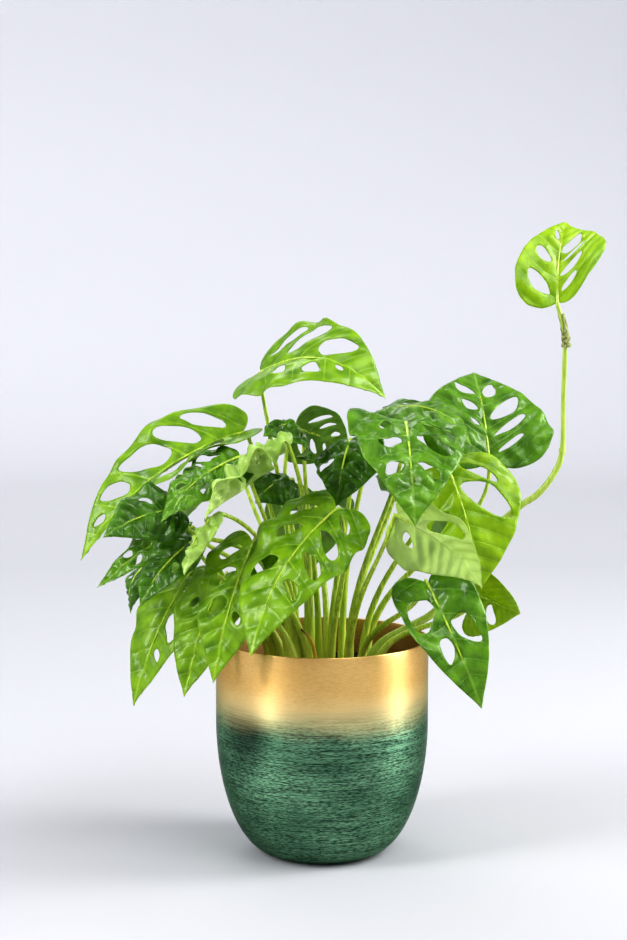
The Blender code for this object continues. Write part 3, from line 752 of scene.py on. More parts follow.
def blade(name, look, base, tip, face, width, root, bow=(0.008, 0.008), lean=0.0, fold=(8, 8),
          curl=(-10, -10), twist=0, sweep=(0, 0), left=None, right=None,
          stalk=(0.45, 0.35, 0.25), ruffle=0.0012):
    """One leaf blade of the crown. It also notes what its stalk needs to know about it."""
    seed = 3.7 * (len(BLADES) + 1)
    midrib = Midrib(base, tip, bow, lean, face, twist)
    length, half_width = midrib.length, width * CROWN / 2
    spare = [(0.23 * k, 0.24, 0.84 - 0.08 * k, 0.12 - 0.02 * k) for k in range(3)]
    left = [(s[0] + 0.05, *s[1:]) for s in spare] if left is None else left
    right = [(s[0] + 0.10, *s[1:]) for s in spare] if right is None else right
    flat, faces, rim_gap = flat_blade(length, half_width, left, right, seed)
    x, y = flat.T
    reach = np.abs(y)
    out = reach / half_width
    along = np.clip(x / length, 0, 1)
    counts, gaps = zip(*(vein_count(x, out, length, half_width, side_veins(w))
                         for w in (left, right)))
    count, from_vein = np.where(y >= 0, *counts), np.where(y >= 0, *gaps)

    place, normal = bent(midrib, flat, half_width, sweep, fold, curl)
    relief = swelling(flat, along, out, rim_gap, count, from_vein, ruffle, seed)
    rib = 0.5 * RIB * bell(from_vein, VEIN_WIDTH[1]) * np.clip(1.0 - out, 0, 1)
    rib += RIB * bell(reach, MIDRIB_WIDTH[1]) * (1.05 - along)
    half_thick = BLADE_THICKNESS * np.clip(0.45 + rim_gap / 0.002, 0, 1) / 2
    top = place + normal * (relief + half_thick)[:, None]
    bottom = place + normal * (relief - half_thick - rib)[:, None]
    mesh = two_skins(name + "_blade", top, bottom, faces)
    chart(mesh, flat, half_width, counts, {"along": along, "reach": reach, "edge": rim_gap})
    add_piece(name + "_blade", mesh, list(LOOKS[look]), "leaf_" + SLOTS[look], name + "_leaf")
    BLADES[name] = (midrib, root, stalk)


def leaf_finish(name, deep, bright, vein, matt, glow, pale=0.0):
    """Skin of a blade: mottled green, darker towards its stalk, lighter along its veins, with a
    fine network between, and with painted shade beside the sunken veins and painted light on the
    puckers between them.
    Light from behind glows through it. A lower skin is paler, with its veins raised."""
    made = Finish(name)
    flat = made.add("UVMap", {}, uv_map="flat")
    veins = made.add("UVMap", {}, uv_map="veins")
    count, out = made.split(veins, "X"), made.split(veins, "Y")
    off = made.sums("PINGPONG", count, 0.5)
    taper = made.spread(out, 0.0, 1.0, 0.050, 0.012)
    line = made.spread(off, 0.0, taper, 1.0, 0.0, smooth=True)
    midline = made.spread(made.mark("reach"), 0.0005, 0.0013, 1.0, 0.0, smooth=True)
    ribs = made.sums("MAXIMUM", line, midline)
    feeds = {"Vector": flat, "Scale": 420.0}
    to_net = made.add("TexVoronoi", feeds, "Distance", feature="DISTANCE_TO_EDGE",
                      voronoi_dimensions="2D")
    net = made.spread(to_net, 0.0, 0.10, 1.0, 0.0)
    cloud = made.grain(flat, 62.0, 4.0, 0.6)
    blotch = made.grain(flat, 240.0, 2.0)
    # Painted shade and light: darker in the grooves beside the veins, lighter on the puckered
    # pillows between them.
    pillow = made.spread(off, 0.06, 0.42, 0.0, 1.0, smooth=True)
    tone = made.nudged(made.spread(cloud, 0.28, 0.72), made.mark("along"), 0.30)
    tone = made.nudged(made.shared(pillow, 0.22, tone), blotch, 0.35)
    skin = made.blend(tone, deep, bright)
    skin = made.blend(made.sums("MULTIPLY", net, 0.08 + pale), skin, vein)
    skin = made.blend(made.sums("MULTIPLY", ribs, 0.50), skin, vein)
    rim = made.spread(made.mark("edge"), 0.0, 0.0006, 0.35, 0.0)
    skin = made.blend(rim, skin, vein)
    made.set(Base_Color=skin, Specular_IOR_Level=0.36, Coat_Weight=0.25, Coat_Roughness=0.16)
    made.rough(matt, 0.16, cloud)
    height = made.sums("MULTIPLY_ADD", blotch, 0.6, made.sums("MULTIPLY", net, -0.35))
    made.bump(made.sums("MULTIPLY_ADD", ribs, 0.5 if pale else -0.5, height), SKIN_RELIEF, 0.8)
    through_leaf = made.add("BsdfTranslucent", {"Color": (*glow, 1.0)})
    both = made.add("MixShader", {0: GLOW_SHARE, 1: made.surface.outputs[0], 2: through_leaf})
    made.feed(made.nodes["Material Output"].inputs["Surface"], both)
    return made.material


def both_sides(name, deep, bright, vein, matt, glow, below=(0.30, 0.42, 0.14)):
    """The upper skin and the duller lower one, which is veiled with the colour below."""
    veiled = [tuple((1 - VEIL) * c + VEIL * b for c, b in zip(tone, below))
              for tone in (deep, bright, vein)]
    return (leaf_finish(name + "_above", deep, bright, vein, matt, glow),
            leaf_finish(name + "_below", *veiled, matt + 0.16, glow, 0.12))


# Each look: the deep, the bright and the vein colour, how matt it is, what glows through it.
LOOKS = {
    # Painted light in part: the fresh look brightens the sunlit blade and the little blade that is
    # lit from behind; on the topmost it is the young leaf's own lighter green.
    "fresh": both_sides("fresh", (0.110, 0.260, 0.002), (0.400, 0.600, 0.012),
                        (0.560, 0.730, 0.070), 0.28, (0.58, 0.74, 0.006)),
    "lime": both_sides("lime", (0.050, 0.160, 0.002), (0.300, 0.510, 0.014),
                       (0.460, 0.660, 0.060), 0.26, (0.48, 0.68, 0.006)),
    "green": both_sides("green", (0.022, 0.100, 0.004), (0.200, 0.410, 0.026),
                        (0.340, 0.560, 0.090), 0.18, (0.34, 0.58, 0.008)),
    # Painted shade: the dark look darkens the blades deep in the crown and in its shaded pockets,
    # such as bud, hook, centre, folded and shaded.
    "dark": both_sides("dark", (0.010, 0.046, 0.003), (0.115, 0.280, 0.018),
                       (0.220, 0.410, 0.050), 0.18, (0.24, 0.46, 0.008)),
    "pale": both_sides("pale", (0.210, 0.370, 0.050), (0.520, 0.690, 0.200),
                       (0.700, 0.850, 0.330), 0.22, (0.66, 0.84, 0.140), (0.72, 0.84, 0.38)),
}
SLOTS = {"fresh": "lime", "lime": "lime", "green": "green", "dark": "dark", "pale": "pale"}
BLADES = {}

# Bases and tips are places in the crown, and a root is where the stalk leaves the soil. Fold, curl,
# sweep and bow have one value for each half or end. A window has its start along the midrib, its
# inner and outer ends as shares of the half's breadth, and its width as a share of the length.
blade("crown", "lime", base=(-0.043, 0.005, 0.187), tip=(0.043, -0.034, 0.171),
      face=(0, -0.66, 0.75), width=0.076, root=(-0.018, 0.012), bow=(0.027, 0.040), fold=(10, 16),
      curl=(-8, -20), sweep=(0.12, -0.30), stalk=(0.45, 0.30, -0.30),
      left=[(0.02, 0.25, 0.88, 0.14), (0.22, 0.2, 0.88, 0.13), (0.50, 0.12, 0.8, 0.18)],
      right=[(0.24, 0.15, 0.62, 0.10), (0.46, 0.22, 0.72, 0.12), (0.64, 0.08, 0.36, 0.05)],
      ruffle=0.0018)
blade("long", "lime", base=(-0.055, 0.002, 0.145), tip=(-0.167, -0.024, 0.058),
      face=(-0.40, -0.50, 0.77), width=0.074, root=(-0.024, 0.006), bow=(0.024, 0.022),
      fold=(24, 26), curl=(0, -10),
      left=[(0.12, 0.18, 0.84, 0.10), (0.31, 0.15, 0.86, 0.12), (0.52, 0.18, 0.84, 0.11)],
      right=[(0.05, 0.2, 0.88, 0.10), (0.2, 0.16, 0.84, 0.12), (0.39, 0.12, 0.88, 0.19),
             (0.61, 0.18, 0.86, 0.12), (0.78, 0.25, 0.8, 0.07)],
      ruffle=0.0018)
blade("folded", "dark", base=(-0.096, -0.058, 0.098), tip=(-0.145, -0.084, 0.083),
      face=(-0.2, -0.75, 0.6), width=0.042, root=(-0.024, -0.016), bow=(0.010, 0.010),
      fold=(-10, 20), curl=(-20, -20), left=[], right=[(0.3, 0.3, 0.7, 0.08)],
      stalk=(0.9, 0.3, 0.1), ruffle=0.004)
blade("shoulder", "green", base=(-0.056, -0.044, 0.133), tip=(-0.107, -0.082, 0.093),
      face=(-0.45, -0.60, 0.66), width=0.052, root=(-0.016, -0.010), bow=(0.010, 0.010),
      fold=(0, 0), curl=(-30, -20), left=[(0.16, 0.3, 0.85, 0.12), (0.45, 0.3, 0.8, 0.12)],
      ruffle=0.0056)
blade("curled", "pale", base=(-0.028, -0.062, 0.148), tip=(-0.076, -0.108, 0.098),
      face=(-0.55, 0.5, 0.67), width=0.040, root=(-0.008, -0.016), bow=(0.010, 0.014),
      fold=(-10, -10), curl=(-60, -60), twist=40, left=[], right=[(0.4, 0.3, 0.7, 0.06)],
      stalk=(0.6, 0.2, 0.3), ruffle=0.0075)
blade("crinkled", "pale", base=(-0.072, -0.072, 0.097), tip=(-0.091, -0.092, 0.059),
      face=(-0.6, -0.5, 0.5), width=0.024, root=(-0.016, -0.026), bow=(0.008, 0.006),
      fold=(-10, -10), curl=(-60, -50), twist=-60, left=[], right=[], stalk=(0.45, 0.3, 0.6),
      ruffle=0.006)
blade("hook", "dark", base=(-0.012, -0.014, 0.138), tip=(-0.040, -0.042, 0.146),
      face=(0.1, -0.35, 0.93), width=0.056, root=(-0.002, 0.008), bow=(0.020, 0.014),
      fold=(-10, -10), curl=(-60, -60), left=[(0.3, 0.3, 0.8, 0.10)], right=[], ruffle=0.006)
blade("bud", "dark", base=(-0.022, -0.012, 0.114), tip=(-0.046, -0.026, 0.098),
      face=(-0.3, -0.7, 0.6), width=0.052, root=(-0.010, 0.000), bow=(0.008, 0.008), fold=(0, 0),
      curl=(-60, -50), left=[], right=[], ruffle=0.005)
blade("centre", "dark", base=(0.019, -0.024, 0.142), tip=(0.009, -0.046, 0.098),
      face=(-0.1, -0.9, 0.4), width=0.056, root=(0.006, 0.002), bow=(0.010, 0.010), fold=(30, -30),
      curl=(-20, -20), left=[], right=[(0.3, 0.3, 0.8, 0.10)], ruffle=0.0046)
blade("front", "lime", base=(0.009, -0.068, 0.100), tip=(-0.047, -0.108, 0.008),
      face=(-0.35, -0.75, 0.55), width=0.078, root=(0.006, -0.026), bow=(0.014, 0.012),
      lean=-0.008, fold=(4, 0), curl=(-10, -28), sweep=(-0.15, 0),
      left=[(0.0, 0.2, 0.6, 0.06), (0.15, 0.15, 0.8, 0.09), (0.32, 0.2, 0.85, 0.10),
             (0.52, 0.2, 0.8, 0.08)],
      right=[(0.0, 0.3, 0.7, 0.06), (0.18, 0.2, 0.6, 0.08), (0.42, 0.2, 0.8, 0.09)], ruffle=0.0026)
blade("gloss", "green", base=(0.056, -0.050, 0.157), tip=(0.059, -0.124, 0.096),
      face=(-0.05, -0.60, 0.80), width=0.080, root=(0.018, -0.012), bow=(0.022, 0.024),
      fold=(0, 18), curl=(-24, -16), sweep=(0, -0.15),
      left=[(0.06, 0.2, 0.8, 0.14), (0.30, 0.15, 0.85, 0.16), (0.56, 0.2, 0.8, 0.08)],
      right=[(0.16, 0.2, 0.5, 0.05), (0.36, 0.15, 0.7, 0.10), (0.58, 0.2, 0.8, 0.08)],
      ruffle=0.004)
blade("arch", "green", base=(0.043, 0.012, 0.160), tip=(0.104, -0.010, 0.136),
      face=(0.1, -0.35, 0.93), width=0.058, root=(0.014, 0.006), bow=(0.018, 0.022), fold=(0, 6),
      curl=(-40, -34), left=[(0.12, 0.2, 0.8, 0.18)], right=[(0.5, 0.3, 0.8, 0.1)], ruffle=0.003)
blade("upper", "green", base=(0.119, 0.024, 0.121), tip=(0.112, 0.084, 0.181),
      face=(0.02, -0.62, 0.78), width=0.096, root=(0.032, 0.018), bow=(0.014, 0.012), fold=(16, 0),
      curl=(-14, -10),
      left=[(0.30, 0.12, 0.3, 0.04), (0.46, 0.15, 0.5, 0.09), (0.64, 0.2, 0.85, 0.10)],
      right=[(0.05, 0.15, 0.6, 0.05), (0.20, 0.15, 0.75, 0.07), (0.38, 0.14, 0.8, 0.15),
             (0.66, 0.1, 0.6, 0.16)],
      ruffle=0.002)
blade("sunlit", "fresh", base=(0.085, -0.044, 0.126), tip=(0.107, -0.060, 0.044),
      face=(0.15, -0.85, 0.50), width=0.086, root=(0.028, -0.010), bow=(0.012, 0.012),
      fold=(4, -30), curl=(-10, -20), left=[(-0.02, 0.2, 0.7, 0.10), (0.20, 0.10, 0.86, 0.26)],
      right=[(0.3, 0.3, 0.8, 0.12)], ruffle=0.0014)
blade("under", "pale", base=(0.050, -0.086, 0.098), tip=(0.104, -0.098, 0.052),
      face=(0.35, 0.75, 0.55), width=0.068, root=(0.018, -0.032), bow=(0.004, 0.010), lean=-0.006,
      fold=(-6, -6), curl=(-20, -20), left=[(0.06, 0.3, 0.6, 0.10)],
      right=[(0.02, 0.25, 0.55, 0.12), (0.30, 0.08, 0.86, 0.24)], stalk=(0.45, 0.3, 0.2),
      ruffle=0.0013)
blade("lower", "green", base=(0.070, -0.074, 0.051), tip=(0.105, -0.098, -0.029),
      face=(0.05, -0.93, 0.35), width=0.054, root=(0.026, -0.024), bow=(0.012, 0.010),
      fold=(18, 8), curl=(-10, -10), sweep=(-0.1, -0.4), left=[(0.36, 0.12, 0.78, 0.22)],
      right=[(0.18, 0.15, 0.85, 0.24), (0.50, 0.1, 0.6, 0.18)], ruffle=0.0018)
blade("little", "fresh", base=(0.108, -0.022, 0.034), tip=(0.136, -0.036, 0.023),
      face=(0.1, -1.0, 0.1), width=0.058, root=(0.038, -0.018), bow=(0.008, 0.008), fold=(62, 4),
      curl=(-20, -14), sweep=(0, -0.1), left=[],
      right=[(0.04, 0.2, 0.5, 0.14), (0.36, 0.15, 0.85, 0.2)], ruffle=0.0018)
blade("lowest", "lime", base=(-0.092, 0.012, 0.046), tip=(-0.133, -0.008, -0.048),
      face=(-0.5, -0.75, 0.4), width=0.052, root=(-0.034, 0.010), bow=(0.012, 0.010), fold=(6, 6),
      curl=(-12, -12),
      left=[(0.12, 0.2, 0.6, 0.08), (0.36, 0.15, 0.75, 0.15), (0.58, 0.3, 0.7, 0.07)], right=[],
      ruffle=0.0016)
blade("skirt", "lime", base=(-0.068, -0.012, 0.046), tip=(-0.095, -0.042, -0.034),
      face=(-0.4, -0.82, 0.4), width=0.050, root=(-0.027, -0.002), bow=(0.010, 0.010), fold=(6, 6),
      curl=(-12, -12), left=[(0.42, 0.2, 0.75, 0.12)], right=[(0.2, 0.3, 0.6, 0.07)], ruffle=0.002)
blade("drape", "lime", base=(-0.047, -0.056, 0.076), tip=(-0.073, -0.080, -0.016),
      face=(-0.35, -0.84, 0.4), width=0.054, root=(-0.010, -0.028), bow=(0.010, 0.010),
      fold=(6, 6), curl=(-14, -14), left=[(0.1, 0.2, 0.7, 0.08), (0.5, 0.2, 0.6, 0.07)],
      right=[(0.03, 0.2, 0.7, 0.09), (0.22, 0.12, 0.75, 0.13), (0.45, 0.12, 0.7, 0.14)],
      ruffle=0.0024)
blade("shaded", "dark", base=(-0.088, -0.052, 0.076), tip=(-0.122, -0.074, 0.035),
      face=(-0.4, -0.80, 0.45), width=0.038, root=(-0.018, -0.034), bow=(0.010, 0.010),
      fold=(10, 10), curl=(-10, -20), left=[(0.35, 0.25, 0.7, 0.12)], right=[], ruffle=0.0036)
blade("narrow", "green", base=(-0.092, -0.014, 0.080), tip=(-0.155, -0.032, 0.040),
      face=(-0.3, -0.5, 0.80), width=0.034, root=(-0.034, 0.002), bow=(0.008, 0.006), fold=(0, 10),
      curl=(-10, -20), stalk=(0.8, 0.3, 0.3), ruffle=0.004)
blade("claw", "dark", base=(-0.122, 0.030, 0.050), tip=(-0.137, 0.024, 0.012),
      face=(-0.8, -0.35, 0.5), width=0.034, root=(-0.038, 0.022), bow=(0.012, 0.010),
      fold=(-10, -10), curl=(-50, -40), left=[], right=[(0.3, 0.3, 0.7, 0.10)], ruffle=0.0044)
blade("olive", "green", base=(-0.019, 0.044, 0.144), tip=(0.020, 0.046, 0.124),
      face=(0.1, 0.85, 0.5), width=0.058, root=(-0.006, 0.022), bow=(0.006, 0.008), fold=(0, 0),
      curl=(-14, -14), ruffle=0.0018)
blade("back_left", "green", base=(-0.060, 0.070, 0.110), tip=(-0.110, 0.115, 0.060),
      face=(-0.4, 0.5, 0.75), width=0.062, root=(-0.018, 0.032), bow=(0.018, 0.018), ruffle=0.0018)
blade("back_middle", "green", base=(-0.005, 0.085, 0.092), tip=(-0.020, 0.140, 0.010),
      face=(0, 0.8, 0.6), width=0.066, root=(0.004, 0.036), bow=(0.014, 0.014), ruffle=0.0018)
blade("back_right", "green", base=(0.058, 0.066, 0.104), tip=(0.100, 0.112, 0.034),
      face=(0.4, 0.6, 0.7), width=0.064, root=(0.020, 0.032), bow=(0.016, 0.016), ruffle=0.0018)
blade("topmost", "fresh", base=(0.163, 0.000, 0.235), tip=(0.172, 0.034, 0.291),
      face=(0.1, -0.80, 0.50), width=0.062, root=None, bow=(0.006, 0.008), lean=0.004,
      fold=(12, 6), curl=(-10, -6), sweep=(-0.1, 1.1),
      left=[(0.08, 0.18, 0.75, 0.18), (0.40, 0.25, 0.75, 0.13), (0.74, 0.1, 0.55, 0.10)],
      right=[(0.10, 0.1, 0.45, 0.09), (0.27, 0.08, 0.62, 0.12), (0.42, 0.15, 0.75, 0.05),
             (0.56, 0.08, 0.82, 0.18)],
      ruffle=0.0012)

# ================================================================ leaf stalks
# Each blade has one stalk: a juicy green rod, grooved along its upper side, thick where it sheathes
# its neighbours at the soil, and bent at a short swollen joint under the blade, where it runs on
# as the midrib. Geometry Nodes sweep each one along its path.

STALK_FOOT_RADIUS = 0.0024
STALK_TOP_RADIUS = 0.0012
STALK_COLLAR = 0.004
STALK_BURIED = 0.004
STALK_TO_BLADE = 0.0026
KNEE = (0.22, 0.004, 0.005)  # swollen joint: share added, distance below the blade, half length
SHEATHING = (0.34, 0.038)  # share added at the soil, and the height over which it dies away
STALK_STEPS = 40
MIDRIB_STEPS = 34
MIDRIB_SHARE = 0.72  # of the blade's length, along which the stalk shows as the midrib
MIDRIB_END_RADIUS = 0.00016
MIDRIB_DROP = 0.0007  # how far below the blade's middle it hangs, at most


def sweep_tree(name, material):
    """Sweeps a grooved section along a line of points, as thick at each as its girth says."""
    tree = Tree(name)
    path = tree.input("Path", "Geometry")
    sides = tree.input("Sides", "Int")
    depth, start = tree.input("Groove depth", "Float"), tree.input("Groove edge", "Float")
    feeds = {"Name": "girth"}
    girth = tree.add("GeometryNodeInputNamedAttribute", feeds, "Attribute", data_type="FLOAT")
    line = tree.add("GeometryNodeMeshToCurve", {0: path})
    feeds = {0: line, "Name": "run", "Value": tree.add("GeometryNodeSplineParameter", {}, "Length")}
    line = tree.add("GeometryNodeStoreNamedAttribute", feeds, data_type="FLOAT", domain="POINT")
    ring = tree.add("GeometryNodeCurvePrimitiveCircle", {"Resolution": sides, "Radius": 1.0})
    place = tree.add("GeometryNodeInputPosition", {})
    height = tree.add("ShaderNodeSeparateXYZ", {0: place}, "Y")
    feeds = {0: height, 1: start, 2: 1.0, 3: 0.0, 4: depth}
    cut = tree.add("ShaderNodeMapRange", feeds, interpolation_type="SMOOTHSTEP")
    down = tree.add("ShaderNodeMath", {0: cut, 1: -1.0}, operation="MULTIPLY")
    down = tree.add("ShaderNodeCombineXYZ", {1: down})
    ring = tree.add("GeometryNodeSetPosition", {0: ring, "Offset": down})
    feeds = {"Curve": line, "Profile Curve": ring, "Scale": girth, "Fill Caps": True}
    tree.end(tree.add("GeometryNodeCurveToMesh", feeds), material)
    return tree


def swept(tree, name, line, radii, sides=14, depth=0.22, start=0.35):
    """A plain mesh swept along a line, as a closed solid with its faces outwards."""
    mesh = bpy.data.meshes.new(name + "_path")
    mesh.from_pydata([tuple(p) for p in line], [(k, k + 1) for k in range(len(line) - 1)], [])
    mesh.attributes.new("girth", "FLOAT", "POINT").data.foreach_set("value", list(radii))
    return tree.run(name, mesh, Sides=sides, Groove_depth=depth, Groove_edge=start)


def stalk_finish(name, foot, green, light, fade):
    """Juicy skin: paler near the soil, finely streaked along its length, softly glossy."""
    made = Finish(name)
    streaks = made.stretched((700.0, 700.0, 45.0), 2.0)
    mottle = made.grain(made.place(), 160.0, 3.0)
    tone = made.blend(made.spread(streaks, 0.22, 0.82), green, light)
    tone = made.blend(made.spread(mottle, 0.35, 0.75, 0.0, 0.30), tone, green)
    low = made.spread(made.mark("run"), 0.0, fade, 1.0, 0.0, smooth=True)
    made.set(Base_Color=made.blend(low, tone, foot), Specular_IOR_Level=0.5)
    made.rough(0.26, 0.18, mottle)
    made.set(Subsurface_Weight=0.18, Subsurface_Scale=0.002, Subsurface_Radius=(0.5, 1.0, 0.2))
    made.bump(made.sums("ADD", streaks, mottle), 0.00012, 0.6)
    return made.material


def stalk_line(midrib, root, shape):
    """Up from the soil, over to the blade, and on under it, with how thick it is all the way."""
    lift, reach, flow = shape
    forward, _, face = (Vector(v) for v in midrib.frame(0.0)[1:])
    foot = Vector((root[0] * CROWN, root[1] * CROWN, SOIL_TOP - STALK_BURIED))
    collar = Vector((foot.x, foot.y, SOIL_TOP + STALK_COLLAR))
    arrive = (forward * flow + Vector((0, 0, 1 - flow))).normalized()
    top = midrib.base - forward * STALK_TO_BLADE - face * 0.4 * STALK_TO_BLADE
    span = (top - collar).length
    handles = (collar, collar + Vector((0, 0, lift * span)), top - arrive * reach * span, top)
    slimming = 1 - STALK_TOP_RADIUS / STALK_FOOT_RADIUS
    line, radii = [foot], [STALK_FOOT_RADIUS * 1.12]
    for k in range(STALK_STEPS):
        t = k / (STALK_STEPS - 1)
        line.append(cubic(*handles, t))
        knee = KNEE[0] * math.exp(-(((1 - t) * span - KNEE[1]) / KNEE[2]) ** 2)
        sheathing = SHEATHING[0] * math.exp(-t * span / SHEATHING[1])
        radii.append(STALK_FOOT_RADIUS * ((1 - slimming * t**0.7) * (1 + knee) + sheathing))
    under_blade(line, radii, midrib)
    return line, radii


def under_blade(line, radii, midrib):
    """Carries a stalk on along the underside of its blade, thinner and thinner."""
    for k in range(1, MIDRIB_STEPS + 1):
        t = k / MIDRIB_STEPS
        place, _, _, face = (Vector(v) for v in midrib.frame(MIDRIB_SHARE * t * midrib.length))
        radius = STALK_TOP_RADIUS * (1 - t) ** 0.8 * 0.9 + MIDRIB_END_RADIUS
        line.append(place - face * (0.55 * radius + MIDRIB_DROP * min(1.0, 4 * t) * (1 - t)))
        radii.append(radius)


juicy = stalk_finish("juicy_stalk", (0.680, 0.760, 0.160), (0.150, 0.300, 0.006),
                     (0.740, 0.850, 0.120), 0.060)
stalk_maker = sweep_tree("grooved_stalk", juicy)
for name, (midrib, root, shape) in BLADES.items():
    if root is None:
        continue
    line, radii = stalk_line(midrib, root, shape)
    mesh = swept(stalk_maker, name + "_petiole", line, radii)
    add_piece(name + "_petiole", mesh, [], "stalk_green", name + "_stalk")

# ================================================================ runner
# One long bare stem that has outgrown the crown: it leans over the rim, turns up at a ringed node
# and stands clear of everything, thick and yellow-green below the node, slender above it.

VINE_FOOT_RADIUS = 0.0031
VINE_TOP_RADIUS = 0.0017
VINE_NODE = 0.131  # height of the ringed node above the rim
NODE_RING = (0.30, 0.0016)  # share added at the node, and half its height
NODE_STEP = (0.14, 0.003)  # share lost above the node, and how gently
VINE_STEPS = 12
VINE_WAY = [
    (0.028, -0.004, 0), (0.042, -0.002, -0.004), (0.060, 0.000, 0.006), (0.078, 0.002, 0.016),
    (0.093, 0.004, 0.032), (0.107, 0.007, 0.054), (0.122, 0.010, 0.075), (0.139, 0.010, 0.091),
    (0.152, 0.010, 0.100), (0.163, 0.010, 0.114), (0.169, 0.010, 0.131), (0.169, 0.008, 0.166),
    (0.169, 0.004, 0.204), (0.167, 0.001, 0.220),
]

topmost = BLADES["topmost"][0]
vine_end = topmost.base - Vector(topmost.frame(0.0)[1]) * STALK_TO_BLADE
vine_foot = Vector((VINE_WAY[0][0] * CROWN, VINE_WAY[0][1] * CROWN, SOIL_TOP - STALK_BURIED))
vine_collar = vine_foot + Vector((0, 0, STALK_BURIED + STALK_COLLAR))
vine_bends = [vine_collar, *map(rim_point, VINE_WAY[1:]), vine_end]
vine_line = [vine_foot, *through(vine_bends, VINE_STEPS)]
vine_radii = []
for k, at in enumerate(vine_line):
    past_node = at.z - POT_HEIGHT - VINE_NODE * CROWN
    slim = (VINE_FOOT_RADIUS - VINE_TOP_RADIUS) * k / (len(vine_line) - 1)
    ring = NODE_RING[0] * math.exp(-((past_node / NODE_RING[1]) ** 2))
    above = NODE_STEP[0] / (1 + math.exp(-past_node / NODE_STEP[1]))
    vine_radii.append((VINE_FOOT_RADIUS - slim) * (1 + ring - above))
under_blade(vine_line, vine_radii, topmost)
fresh = stalk_finish("fresh_runner", (0.420, 0.520, 0.120), (0.270, 0.400, 0.030),
                     (0.600, 0.700, 0.190), 0.060)
runner = swept(sweep_tree("smooth_runner", fresh), "runner", vine_line, vine_radii, 20, 0.06)
add_piece("runner", runner, [], "vine_green", "vine_stem")

# ================================================================ papery sheath
# What is left of the sheath that the newest leaf unrolled from: a dry, crumpled, papery wrap that
# still hugs the runner just under the leaf, open down one side.

SHEATH_ROWS = 44
SHEATH_COLUMNS = 30
SHEATH_THICKNESS = 0.00035
SHEATH_NECK = 0.0026
SHEATH_FLARE = 0.0016
SHEATH_WIND = 0.9
SHEATH_CREASE = 0.28


def sheath_finish():
    made = Finish("dry_papery_sheath")
    fibre = made.stretched((1100.0, 1100.0, 90.0), 4.0)
    spots = made.grain(made.place(), 700.0, 2.0)
    tone = made.blend(fibre, (0.130, 0.170, 0.040), (0.400, 0.440, 0.170))
    tone = made.blend(made.spread(spots, 0.52, 0.66), tone, (0.110, 0.060, 0.022))
    made.set(Base_Color=tone, Roughness=0.7)
    made.bump(made.sums("ADD", fibre, spots), 0.0003, 0.9)
    return made.material


def sheath_row(place, t):
    """One row of the wrap round the runner at this place, t of the way up: it stands off furthest
    at its foot, opens widest a third of the way up, and winds a little round as it climbs."""
    x, y, z = place
    opening = math.radians(255 - 100 * abs(t - 0.35))
    stand_off = SHEATH_NECK + SHEATH_FLARE * (1 - t) ** 2
    row = []
    for k in range(SHEATH_COLUMNS):
        turn = math.radians(-20) + opening * (k / (SHEATH_COLUMNS - 1) - 0.5) + SHEATH_WIND * t
        crease = noise.noise(Vector((math.cos(turn) * 2, math.sin(turn) * 2, t * 9)))
        radius = stand_off * (1 + SHEATH_CREASE * crease)
        row.append((x + radius * math.cos(turn), y + radius * math.sin(turn), z))
    return row


sheath_low, sheath_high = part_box("vine_sheath")
upright = vine_line[-MIDRIB_STEPS - 5 * VINE_STEPS : -MIDRIB_STEPS]
upright_heights = [p.z for p in upright]
sheath_points = []
for t in np.linspace(0, 1, SHEATH_ROWS):
    z = sheath_low[2] + (sheath_high[2] - sheath_low[2]) * t
    x, y = (np.interp(z, upright_heights, [p[axis] for p in upright]) for axis in (0, 1))
    sheath_points += sheath_row((x, y, z), t)
sheath_faces = [(i, i + 1, i + SHEATH_COLUMNS + 1, i + SHEATH_COLUMNS)
                for i in range((SHEATH_ROWS - 1) * SHEATH_COLUMNS)
                if i % SHEATH_COLUMNS < SHEATH_COLUMNS - 1]
sheath_mesh = smooth_mesh("papery_sheath", sheath_points, sheath_faces)
sheath = add_piece("papery_sheath", sheath_mesh, [sheath_finish()], "dry_sheath", "vine_sheath")
wall = sheath.modifiers.new("thickness", "SOLIDIFY")
wall.thickness = SHEATH_THICKNESS
wall.offset = 0

# ================================================================ cut stub
# The foot of an old stalk that was cut back. It has yellowed, shrunk to a ribbed quill and browned
# at its bent tip.

STUB_ROOT = (-0.003, -0.034)
STUB_HEIGHT = 0.038
STUB_BENDS = ((0.04, 0.5), (0.12, 0.8), (0.30, 1.0))  # sideways and up, in heights of the stub
STUB_RADII = (0.0019, 0.0019, 0.0017, 0.0014, 0.0008)
STUB_BROWN = (0.007, 0.001)  # where the browning starts and is complete, below the tip


def stub_finish():
    made = Finish("yellowed_stub")
    ribs = made.stretched((1300.0, 1300.0, 60.0))
    tone = made.blend(ribs, (0.520, 0.270, 0.020), (0.800, 0.560, 0.090))
    height = made.split(made.place(), "Z")
    tip = made.spread(height, stub_tip - STUB_BROWN[0], stub_tip - STUB_BROWN[1])
    made.set(Base_Color=made.blend(tip, tone, (0.070, 0.026, 0.010)), Roughness=0.5)
    made.bump(ribs, 0.0004, 0.9)
    return made.material


stub_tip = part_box("cut_stub")[1][2]
stub_foot = Vector((STUB_ROOT[0] * CROWN, STUB_ROOT[1] * CROWN, SOIL_TOP))
stub_way = [stub_foot - Vector((0, 0, STALK_BURIED)), stub_foot + Vector((0, 0, STALK_COLLAR))]
for sideways, up in STUB_BENDS:
    stub_way.append(stub_foot + Vector((-sideways, 0, up)) * STUB_HEIGHT * CROWN)
stub_line = through(stub_way, 9)
stub_stations = np.linspace(0, len(STUB_RADII) - 1, len(stub_line))
stub_radii = np.interp(stub_stations, range(len(STUB_RADII)), STUB_RADII)
stub = swept(sweep_tree("ribbed_quill", stub_finish()), "old_stub", stub_line, stub_radii, 12, 0.4)
add_piece("old_stub", stub, [], "yellowed_stub", "cut_stub")

# ================================================================ studio
# A pale floor that sweeps up into a pale wall all round, soft light from large panels, and the
# camera a little above the pot, far enough off for a flat, natural view.

